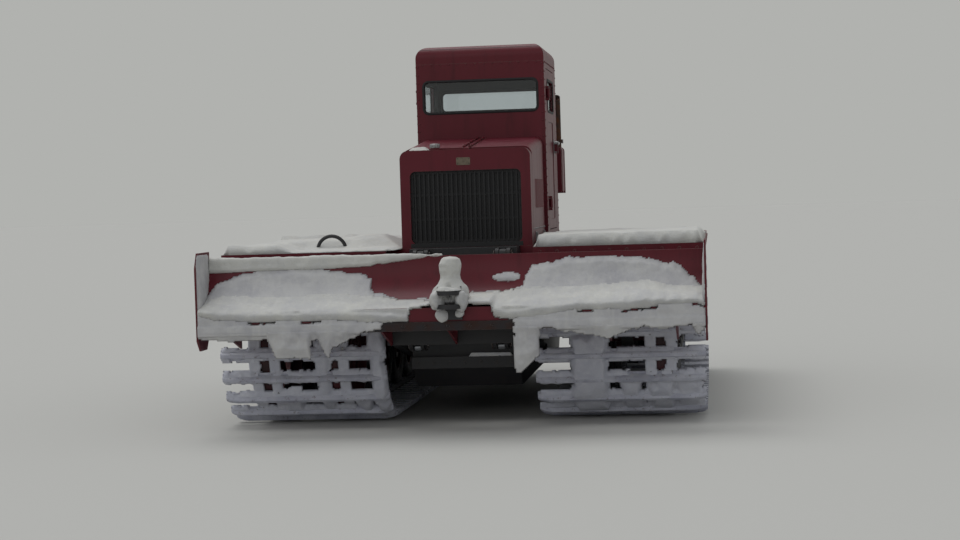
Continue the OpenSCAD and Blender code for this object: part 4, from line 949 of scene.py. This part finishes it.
# %% Snow in the tracks
def packed(side, name, deepest, seed, columns):
    """Snow on the front of a track, in columns (x from, x to, highest z, share of full depth)."""
    start = float(loop_parts()[1][0] * 0.22)
    x, d = np.meshgrid(np.arange(519, 1683, 9.0), np.arange(start, start + 1080, 9.0))
    base, _ = on_loop(side * x, d, BELT_THICK - 2)
    place = at(*np.moveaxis(base, -1, 0))
    n = grains(place, (160, 60, 24), seed)
    deep = np.full(x.shape, -20.0)
    for x0, x1, high, share in columns:
        inside = np.minimum(x - x0, x1 - x) + 14 * n[1] + 8 * n[2]
        fade = np.clip((high - base[..., 2] + 50 * n[0] + 24 * n[1]) / 90, -1, 1)
        mound = np.minimum(np.clip(inside / 30, -1, 1), fade) * deepest * share + 6 * n[1] * share
        deep = np.maximum(deep, mound)
    nearest = np.abs(x[..., None] - np.array(BELTS)).min(-1)
    film = np.where((nearest < 37 + 5 * n[2]) & (n[0] > -0.5), 9 + 3 * n[1] + 2 * n[2], 0)
    pitch = LOOP / BARS
    beside = (d - SHIFT[side] * pitch + pitch / 2) % pitch - pitch / 2
    flank = 40 * np.sqrt(np.clip(1 - (beside / (50 + 6 * n[2])) ** 2, 0, 1)) + 6 * n[1] + 3 * n[2] - 6
    deep = np.maximum(np.maximum(deep, film), np.where(n[1] > -0.5, flank, 0))
    deep = np.where(deep > 3, deep, 0)
    top, _ = on_loop(side * x, d, BELT_THICK - 2 + deep)
    caked(f"snow_track_{name}", place, at(*np.moveaxis(top, -1, 0)), deep, track_snow_blue_shade, CHASSIS)


LEFT_SNOW = [(760, 1018, 640, 1.0), (1090, 1250, 330, 0.7), (1290, 1470, 300, 0.8), (1470, 1660, 380, 0.45)]
RIGHT_SNOW = [(520, 640, 760, 1.0), (640, 790, 230, 0.8), (1140, 1290, 250, 0.7), (905, 1020, 700, 0.6)]
packed(1, "left", 56, 21, LEFT_SNOW)
packed(-1, "right", 52, 22, RIGHT_SNOW)

# %% [markdown]
# Rubber seals hold the glass: a half-round bead runs round each opening, inside and outside.

# %% Window seals
def seal(name, outline, face, way, body=CHASSIS):
    """A bead carried round an outline lying at x = face or s = face and standing out toward way."""
    a, b = outline.T
    flat = at(face, a, b) if way[0] else at(a, face, b)
    piece(name, along(flat, bead(19, 7), way, ring=True), seal_rubber, 60, body)


# the cab's front, rear and side faces and its walls' thickness
CAB_FRONT, CAB_BACK, CAB_SIDE, WALL = 2250, 3300, 495, 30
WINDSCREEN = rounded_outline(-440, 2220, 440, 2465, 40)
BACK_PANE = rounded_outline(-440, 2270, 440, 2430, 40)
DOOR_PANE = rounded_outline(2490, 2220, 3010, 2465, 40)
seal("seal_windscreen", WINDSCREEN, CAB_FRONT, AHEAD)
seal("seal_windscreen_inner", WINDSCREEN, CAB_FRONT + WALL, BACK)
seal("seal_rear_window", BACK_PANE, CAB_BACK, BACK)
seal("seal_rear_window_inner", BACK_PANE, CAB_BACK - WALL, AHEAD)
for side, name in SIDES:
    inner = side * (CAB_SIDE - WALL)
    seal(f"seal_door_{name}", DOOR_PANE, side * CAB_SIDE, (side, 0, 0), f"{name}_door")
    seal(f"seal_door_{name}_inner", DOOR_PANE, inner, (-side, 0, 0), f"{name}_door")

# %% [markdown]
# Rows of rivets and bolts are one small head repeated. Rivets join the cab's sheets at its
# corners and under the roof; bolts hold the deck plates, the hitch and the hull's covers.

# %% Rivets and bolts
def row(start, stop, pitch):
    """Evenly spaced values from start to stop, about pitch apart."""
    return np.linspace(start, stop, max(2, int(round(abs(stop - start) / pitch)) + 1))


def heads(head, x, s, z, axis):
    """A head at every combination of the given x, stations and heights."""
    grid = np.meshgrid(*(np.atleast_1d(value) for value in (x, s, z)), indexing="ij")
    return repeat(head, at(*(g.ravel() for g in grid)), axis)


RIVET, BOLT, BIG_BOLT = round_head(13, 5), hexagon_head(17, 8), hexagon_head(30, 15)
upright, under_roof = row(1275, 2580, 62), 2592
cab = []
for s, way in ((CAB_FRONT, AHEAD), (CAB_BACK, BACK)):
    cab += heads(RIVET, [-478, 478], s, upright, way)
    cab += heads(RIVET, row(-440, 440, 68), s, under_roof, way)
for side in (-1, 1):
    cab += heads(RIVET, side * CAB_SIDE, [2268, 3282], upright, (side, 0, 0))
    cab += heads(RIVET, side * CAB_SIDE, row(2300, 3250, 68), under_roof, (side, 0, 0))
piece("cab_rivets", cab, crimson, 30)

deck_rail, decks = 1182, []
for side in (-1, 1):
    for s, way in ((700, AHEAD), (4560, BACK)):
        decks += heads(BOLT, side * row(560, 1640, 120), s, deck_rail, way)
    decks += heads(BOLT, side * 1690, row(760, 4500, 187), deck_rail, (side, 0, 0))
piece("deck_edge_bolts", decks, crimson, 30)

hull = heads(BIG_BOLT, [-160, -60, 60, 160], 4580, [465, 655], BACK)
hull += heads(BOLT, row(-330, 330, 110), 840, 415, AHEAD)
COVER = [(62, -1), (62, 14), (118, 12), (128, 8), (130, -1)]
for side in (-1, 1):
    hull += turned(COVER, at(side * 380, 4220, 600), (side, 0, 0), 40)
    hull += heads(BOLT, side * 380, row(1000, 1500, 100), [900, 1150], (side, 0, 0))
    for x, s, radius in ((392, 2097.5, 71), (392, 3267.5, 71), (391, 4220, 102)):
        cos, sin = circle(8, radius).T
        hull += repeat(BOLT, at(side * x, s + cos, 600 + sin), (side, 0, 0))
piece("hull_bolts", hull, chassis_black_and_shade, 30)

# %% [markdown]
# Radiator shell and hood: a blank tan plate with four rivets above the grille, a dark sill below
# it, screws round the grille's frame, a ribbed filler cap, two over-centre latches on each hood panel.

# %% Radiator shell and hood fittings
a, b = rounded_outline(-60, 1803, 40, 1857, 8, 4).T
piece("blank_shell_plate", plate(at(a, 1150, b), np.array([0, -3 * MM, 0])), plate_tan, 30, bevel=0.0008)
piece("sill_plate", box_shell((-404, 1147, 1217), (404, 1151, 1248)), grille_black, 30, bevel=0.001)
SCREW = round_head(11, 5)
trim = heads(round_head(7, 3), [-52, 32], 1147, [1811, 1849], AHEAD)
trim += heads(SCREW, row(-385, 385, 110), 1180, [1257, 1753], AHEAD)
trim += heads(SCREW, [-389, 389], 1180, row(1300, 1710, 102), AHEAD)
piece("shell_screws", trim, grille_black, 30)

RIBS = 12
RINGS = [(1932, 0.97), (1936, 1.0), (1957, 1.0), (1961, 0.9), (1963, 0.5), (1963, 0.0)]
ribbed = np.where(np.arange(4 * RIBS) % 4 < 2, 37.0, 34.5)
cos, sin = circle(4 * RIBS).T * ribbed
p = np.stack([at(-220 + r * cos, 1220 + r * sin, z) for z, r in RINGS])
piece("filler_cap_cover", [skin(p)], zinc, 30)


def latch(side, s):
    """Base plate, hook and lever of a toggle latch at the hood's lower edge."""
    x = side * 470
    parts = box_shell((x, s - 22, 1240), (x + side * 4, s + 22, 1310))
    parts += box_shell((x + side * 3, s - 12, 1262), (x + side * 14, s + 12, 1302))
    lever = [(x + side * 10, s, 1300), (x + side * 20, s, 1282), (x + side * 18, s, 1246)]
    parts += along([at(*q) for q in lever], rounded_outline(-9, -2, 9, 2, 1.5, 3) * MM, (side, 0, 0))
    return parts


for side, name in SIDES:
    parts = latch(side, 1460) + latch(side, 2090)
    parts += heads(RIVET, side * 470, row(1330, 2215, 74), 1330, (side, 0, 0))
    piece(f"hood_latches_{name}", parts, zinc, 35, f"{name}_hood_half")

# %% [markdown]
# Blade: a tube stiffens the lip, a dark wear strip is bolted along the foot, weld beads close the
# hollow against the end plates, and the rib backs are welded to the mouldboard.

# %% Blade fittings
lip = at([-1689, 0, 1689], 358, 1172)
piece("lip_tube", along(lip, circle(20, 13 * MM), UPWARD), crimson, 60, BLADE)
piece("cutting_edge", box_shell((-1690, -13.5, 698.5), (1690, 3, 759)), scale_steel, 30, BLADE, bevel=0.002)
ploughs = heads(round_head(26, 6), row(-1630, 1630, 148), -13.5, 730, AHEAD)
piece("cutting_edge_bolts", ploughs, scale_steel, 30, BLADE)


def weld(x, radius, first, last, steps, section, way):
    """A bead along the mouldboard's arc, between two angles below its centre."""
    a = np.radians(np.linspace(first, last, steps))
    return along(at(x, radius * np.cos(a), BOW_TOP - radius * np.sin(a)), section, (way, 0, 0))


beads = weld(-1688, 334, 88, 8, 40, bead(12, 7), 1) + weld(1688, 334, 88, 8, 40, bead(12, 7), -1)
for x in (-1500, -1050, -448, 0, 448, 1050, 1500):
    for way in (-1, 1):
        beads += weld(x + way * 8, 348, 62, 12, 26, bead(10, 6), way)
piece("blade_welds", beads, crimson, 60, BLADE)

# %% [markdown]
# Lift cylinders: a flush gland closes each barrel, because the frame's lugs come close to it with
# the blade up. The pins carry washers.

# %% Cylinder and pivot fittings
LIFT_X, LIFT_TOP, LIFT_EYE = 290, (835, 1172), (590, 550)
down = np.subtract(LIFT_EYE, LIFT_TOP) / math.dist(LIFT_EYE, LIFT_TOP)
GLAND = [(21.5, 536), (47, 536), (47, 552), (42, 556), (21.5, 556)]
COLLAR = [(42.2, 60), (45, 60), (45, 84), (42.2, 84)]
for side, name in SIDES:
    rings = [turned(profile, at(side * LIFT_X, *LIFT_TOP), (0, *down)) for profile in (GLAND, COLLAR)]
    piece(f"lift_gland_{name}", sum(rings, []), chassis_black_and_shade, 35, f"{name}_cylinder_barrel")

WASHER = [(0, 9), (12, 9), (12, 5), (25, 5), (26, 4), (26, -2)]
PIVOT_CAP = [(0, 16), (30, 16), (44, 12), (46, 8), (46, -1)]
chassis_pins, frame_pins = [], []
for side in (-1, 1):
    for way in (-1, 1):
        x = side * LIFT_X + way * 60
        chassis_pins += turned(WASHER, at(x, *LIFT_TOP), (way, 0, 0), 24)
        frame_pins += turned(WASHER, at(x, *LIFT_EYE), (way, 0, 0), 24)
    chassis_pins += turned(PIVOT_CAP, at(side * 488, 1760, 420), (side, 0, 0))
piece("upper_lift_pins", chassis_pins, scale_steel, 35)
piece("lower_lift_pins", frame_pins, scale_steel, 35, BLADE)

# %% [markdown]
# Doors and rear: lever handles with a lock barrel, strap hinges' screws, the locker's hasp and
# hinges, bolts on the silencer's straps and on the exhaust's clamp.

# %% Door, locker and exhaust fittings
HANDLE_PLATE = rounded_outline(2978, 1880, 3022, 2010, 12, 4)
LEVER = np.array([(34, 3000, 1982), (44, 2984, 1980), (44, 2900, 1972), (40, 2886, 1970)])
LOCK, HUB = [(0, 26), (8, 26), (11, 24), (11, 0)], [(0, 40), (12, 40), (14, 37), (14, 0)]
for side, name in SIDES:
    x = side * CAB_SIDE
    parts = plate(at(x, *HANDLE_PLATE.T), np.array([side * 4 * MM, 0, 0]))
    parts += turned(LOCK, at(x, 3000, 1910), (side, 0, 0), 20)
    out, s, z = LEVER.T
    parts += along(at(x + side * out, s, z), rounded_outline(-7, -9, 7, 9, 6, 4) * MM, UPWARD)
    parts += turned(HUB, at(x, 3000, 1982), (side, 0, 0), 20)
    piece(f"door_handle_{name}", parts, zinc, 35, f"{name}_door")
    screws = heads(round_head(10, 4), side * 509, [2455, 2470], [1490, 1515, 2340, 2365], (side, 0, 0))
    piece(f"door_hinge_screws_{name}", screws, zinc, 30, f"{name}_door")

rear = box_shell((-26, 3900, 1512), (26, 3904, 1560)) + box_shell((-14, 3903, 1496), (14, 3912, 1548))
for x in (-280, 280):
    rear += turned([(0, -45), (9, -45), (9, 45), (0, 45)], at(x, 3396, 1533), (1, 0, 0), 16)
    rear += box_shell((x - 40, 3388, 1536), (x + 40, 3400, 1570))
rear += heads(BOLT, [140, 480], [3490, 3740], 1964, UPWARD)
rear += heads(BOLT, 519, 3600, [2003, 2020], (1, 0, 0))
piece("rear_fittings", rear, zinc, 35)

# %% [markdown]
# The bench is foam under grained vinyl. Each pad starts as a slightly small block, is cut into even
# faces, and is blown up by cloth pressure with its travel capped, so that its sides swell and
# its corners pull in. Channels are sewn after that, and a welt runs round the seam.

# %% Seat pads
def settled(made):
    """Replace the object's mesh by what its modifiers make of it, and drop them."""
    graph = bpy.context.evaluated_depsgraph_get()
    mesh = bpy.data.meshes.new_from_object(made.evaluated_get(graph))
    made.modifiers.clear()
    made.data = mesh
    return made


def points(made):
    """The object's points, one a row."""
    found = np.empty(len(made.data.vertices) * 3)
    made.data.vertices.foreach_get("co", found)
    return found.reshape(-1, 3)


# in metres: the block's inset, rounding and face size, the channels, and how far in the face counts
INSET, SOFT_EDGE, CELL = 0.010, 0.024, 0.009
CHANNEL_PITCH, CHANNEL_WIDE, CHANNEL_DEEP, FACE_DEEP = 0.1, 0.006, 0.007, 0.03


def stuffed(name, node_name, facing, cap):
    """A block 10 mm inside the node's box, swollen by up to cap metres, with channels every 100 mm over x."""
    lo, hi = (np.array(corner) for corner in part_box(node_name))
    lo, hi = lo + INSET, hi - INSET
    block = box_shell(*((x / MM, y / MM + MID, z / MM) for x, y, z in (lo, hi)))
    made = piece(name, block, vinyl, 180)
    modified(made, "soft edges", "BEVEL", width=SOFT_EDGE, segments=4)
    modified(made, "even faces", "REMESH", mode="VOXEL", voxel_size=CELL)
    settled(made)
    before = points(made)
    cloth = modified(made, "pressure", "CLOTH")
    cloth.settings.use_pressure, cloth.settings.uniform_pressure_force = True, 4.0
    cloth.settings.effector_weights.gravity = 0.0
    for frame_number in range(1, 21):
        bpy.context.scene.frame_set(frame_number)
    settled(made)
    bpy.context.scene.frame_set(1)
    moved = points(made) - before
    length = np.linalg.norm(moved, axis=1, keepdims=True)
    now = before + moved * np.minimum(1, cap / np.maximum(length, 1e-9))
    outward = np.array(facing, float)
    face = (now @ outward > (np.where(outward > 0, hi, lo) @ outward) - FACE_DEEP).astype(float)
    off = (now[:, 0] + CHANNEL_PITCH / 2) % CHANNEL_PITCH - CHANNEL_PITCH / 2
    now -= outward * (CHANNEL_DEEP * np.exp(-((off / CHANNEL_WIDE) ** 2)) * face)[:, None]
    made.data.vertices.foreach_set("co", now.ravel())
    made.data.update()
    made.data.shade_smooth()
    modified(made, "finer faces", "SUBSURF", levels=1, render_levels=1)
    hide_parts(node_name)
    print(f"{name}: {len(now)} points, moved up to {1000 * min(cap, length.max()):.0f} mm")
    return made


def welt(name, pad, outline):
    """A 9 mm cord laid on the pad: each point of the outline goes to the nearest place on the pad."""
    tree = BVHTree.FromPolygons(points(pad).tolist(), [list(q.vertices) for q in pad.data.polygons])
    path = np.array([tree.find_nearest(Vector(q))[0] for q in outline])
    for _ in range(2):
        path = (np.roll(path, 1, 0) + 2 * path + np.roll(path, -1, 0)) / 4
    spin = path - path.mean(0)
    spin /= np.linalg.norm(spin, axis=1, keepdims=True)
    piece(name, along(path, circle(10, 4.5 * MM), spin, ring=True), vinyl, 180)


cushion = stuffed("seat_pad", "seat_cushion", (0, 0, 1), 0.014)
backrest = stuffed("seat_back_pad", "seat_back", (0, -1, 0), 0.012)
# the seam runs round the box's corners, a little below the pad's face
CORNER, SEAM = 0.05, 0.022
(x0, y0, z0), (x1, y1, z1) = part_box("seat_cushion")
x, y = rounded_outline(x0, y0, x1, y1, CORNER, 10).T
welt("seat_welt", cushion, np.column_stack([x, y, 0 * x + z1 - SEAM]))
(x0, y0, z0), (x1, y1, z1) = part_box("seat_back")
x, z = rounded_outline(x0, z0, x1, z1, CORNER, 10).T
welt("seat_back_welt", backrest, np.column_stack([x, 0 * x + y0 + SEAM, z]))

# %% [markdown]
# The dash carries five round gauges with plain pale faces and a row of toggle switches; a ribbed
# rubber mat covers the floor in front of the seat.

# %% Dash and floor mat
DASH_SPOT = (2405, 2100)
DASH_FACE = np.array([0, 100, 70]) / math.hypot(100, 70)
FACE_RING = [(26, 1), (27, 5), (31, 7), (34, 5), (34, -1)]
HAND = rounded_outline(-1.2, -0.6, 1.2, 0.6, 0.4, 2) * MM
rims, dials, hands = [], [], []
for k, x in enumerate((-330, -245, -160, -75, 10)):
    spot = at(x, *DASH_SPOT)
    rims += turned(FACE_RING, spot, DASH_FACE)
    dials += turned([(0, 2), (27, 2), (27, -1), (0, -1)], spot, DASH_FACE)
    lean = 0.5 + 0.35 * k
    tip = np.array([math.cos(lean), 0, 0]) + math.sin(lean) * np.cross(DASH_FACE, (1, 0, 0))
    reach = np.array([[0], [0.5], [1]]) * tip * 0.02
    hands += along(spot + 3.2 * MM * DASH_FACE + reach, HAND, DASH_FACE)
for x in np.arange(90, 331, 48):
    rims += turned([(0, 2), (9, 2), (10, 0), (10, -1)], at(x, *DASH_SPOT), DASH_FACE, 16)
    rims += turned([(3, 0), (3.5, 18), (3, 21), (0, 22)], at(x, *DASH_SPOT), DASH_FACE + (0, 0, 0.25), 12)
piece("gauge_rims", rims, zinc, 35)
piece("gauge_faces", dials, dial_white, 35)
piece("gauge_hands", hands, hand_red, 35)

x, s = np.meshgrid(np.arange(-452, 453, 4.0), np.arange(2300, 2701, 40.0))
rib = np.pad((6 + 1.6 * np.cos(x * math.pi / 8))[1:-1, 1:-1], 1)
mat = [(at(x, s, 1255 + height), quads(*x.shape)) for height in (0, rib)]
piece("floor_mat", mat, cab_mat, 60, merge=1e-5)

# %% [markdown]
# The decks' plate is rolled with crossed lozenges for grip. They show where the snow is thin.

# %% Deck tread
LOZENGE = np.array([(-15, 0), (0, 4.5), (15, 0), (0, -4.5)])


def lozenge(angle):
    """A low four-sided ridge, 30 by 9 mm and 1.6 mm high, turned by angle and sunk by 1 mm."""
    c, s = math.cos(angle), math.sin(angle)
    turn = np.array([[c, s], [-s, c]])
    foot = np.column_stack([LOZENGE @ turn, np.full(4, -1)]) * MM
    top = np.column_stack([(LOZENGE * (0.6, 0.2)) @ turn, np.full(4, 1.6)]) * MM
    face = np.arange(4)[None]
    return [skin(np.stack([foot, top])), (top, face), (foot, face)]


for side, name in SIDES:
    x, s = np.meshgrid(np.arange(410, 1676, 36.0), np.arange(2260, 4540, 36.0))
    odd = (np.arange(x.shape[1])[None] + np.arange(x.shape[0])[:, None]) % 2 == 1
    # none under the cab's foot
    clear = (x >= 510) | (s >= 3320)
    tread = []
    for keep, angle in ((odd & clear, 0.785), (~odd & clear, -0.785)):
        tread += repeat(lozenge(angle), at(side * x[keep], s[keep], DECK_TOP), UPWARD)
    piece(f"deck_tread_{name}", tread, crimson, 20)

# %% [markdown]
# Stage: a plain pale floor that runs past every view, an even pale sky, and two soft suns, one
# high behind the machine, as a bright overcast sky lights it, and a weak one from ahead.

# %% Floor and light
floor_mesh = bpy.data.meshes.new("floor")
floor_mesh.from_pydata([(-150, -150, 0), (150, -150, 0), (150, 150, 0), (-150, 150, 0)], [], [(0, 1, 2, 3)])
floor_mesh.materials.append(finish("pale_studio_floor", "#B6B5B0", 0.95))
floor = linked("floor", floor_mesh)

sky = bpy.data.worlds.new("even_sky")
bpy.context.scene.world = sky
sky.use_nodes = True
tree = sky.node_tree
tree.nodes.clear()
ray = node(tree, "LightPath").outputs
seen = pair(tree, "MAXIMUM", ray["Is Camera Ray"], ray["Is Glossy Ray"])
seen = pair(tree, "MAXIMUM", seen, ray["Is Transmission Ray"])
lit = node(tree, "Background", {"Color": colour("#E9EDF2"), "Strength": 0.6})
shown = node(tree, "Background", {"Color": colour("#B1B2AF"), "Strength": 1.0})
both = node(tree, "MixShader", None, {0: seen, 1: lit.outputs[0], 2: shown.outputs[0]})
node(tree, "OutputWorld", None, {"Surface": both.outputs[0]})


def sun(name, toward, strength, soft):
    """A soft sun shining along toward, soft degrees across."""
    made = linked(name, bpy.data.lights.new(name, "SUN"))
    made.data.energy, made.data.angle = strength, math.radians(soft)
    made.rotation_mode = "QUATERNION"
    made.rotation_quaternion = Vector(toward).to_track_quat("-Z", "Y")


sun("high_soft_sun", (0.25, -0.35, -1.0), 1.3, 50)
sun("front_soft_sun", (0.5, 1.0, -0.55), 0.22, 40)
bpy.context.scene.view_settings.view_transform = "Standard"
print("stage ready")
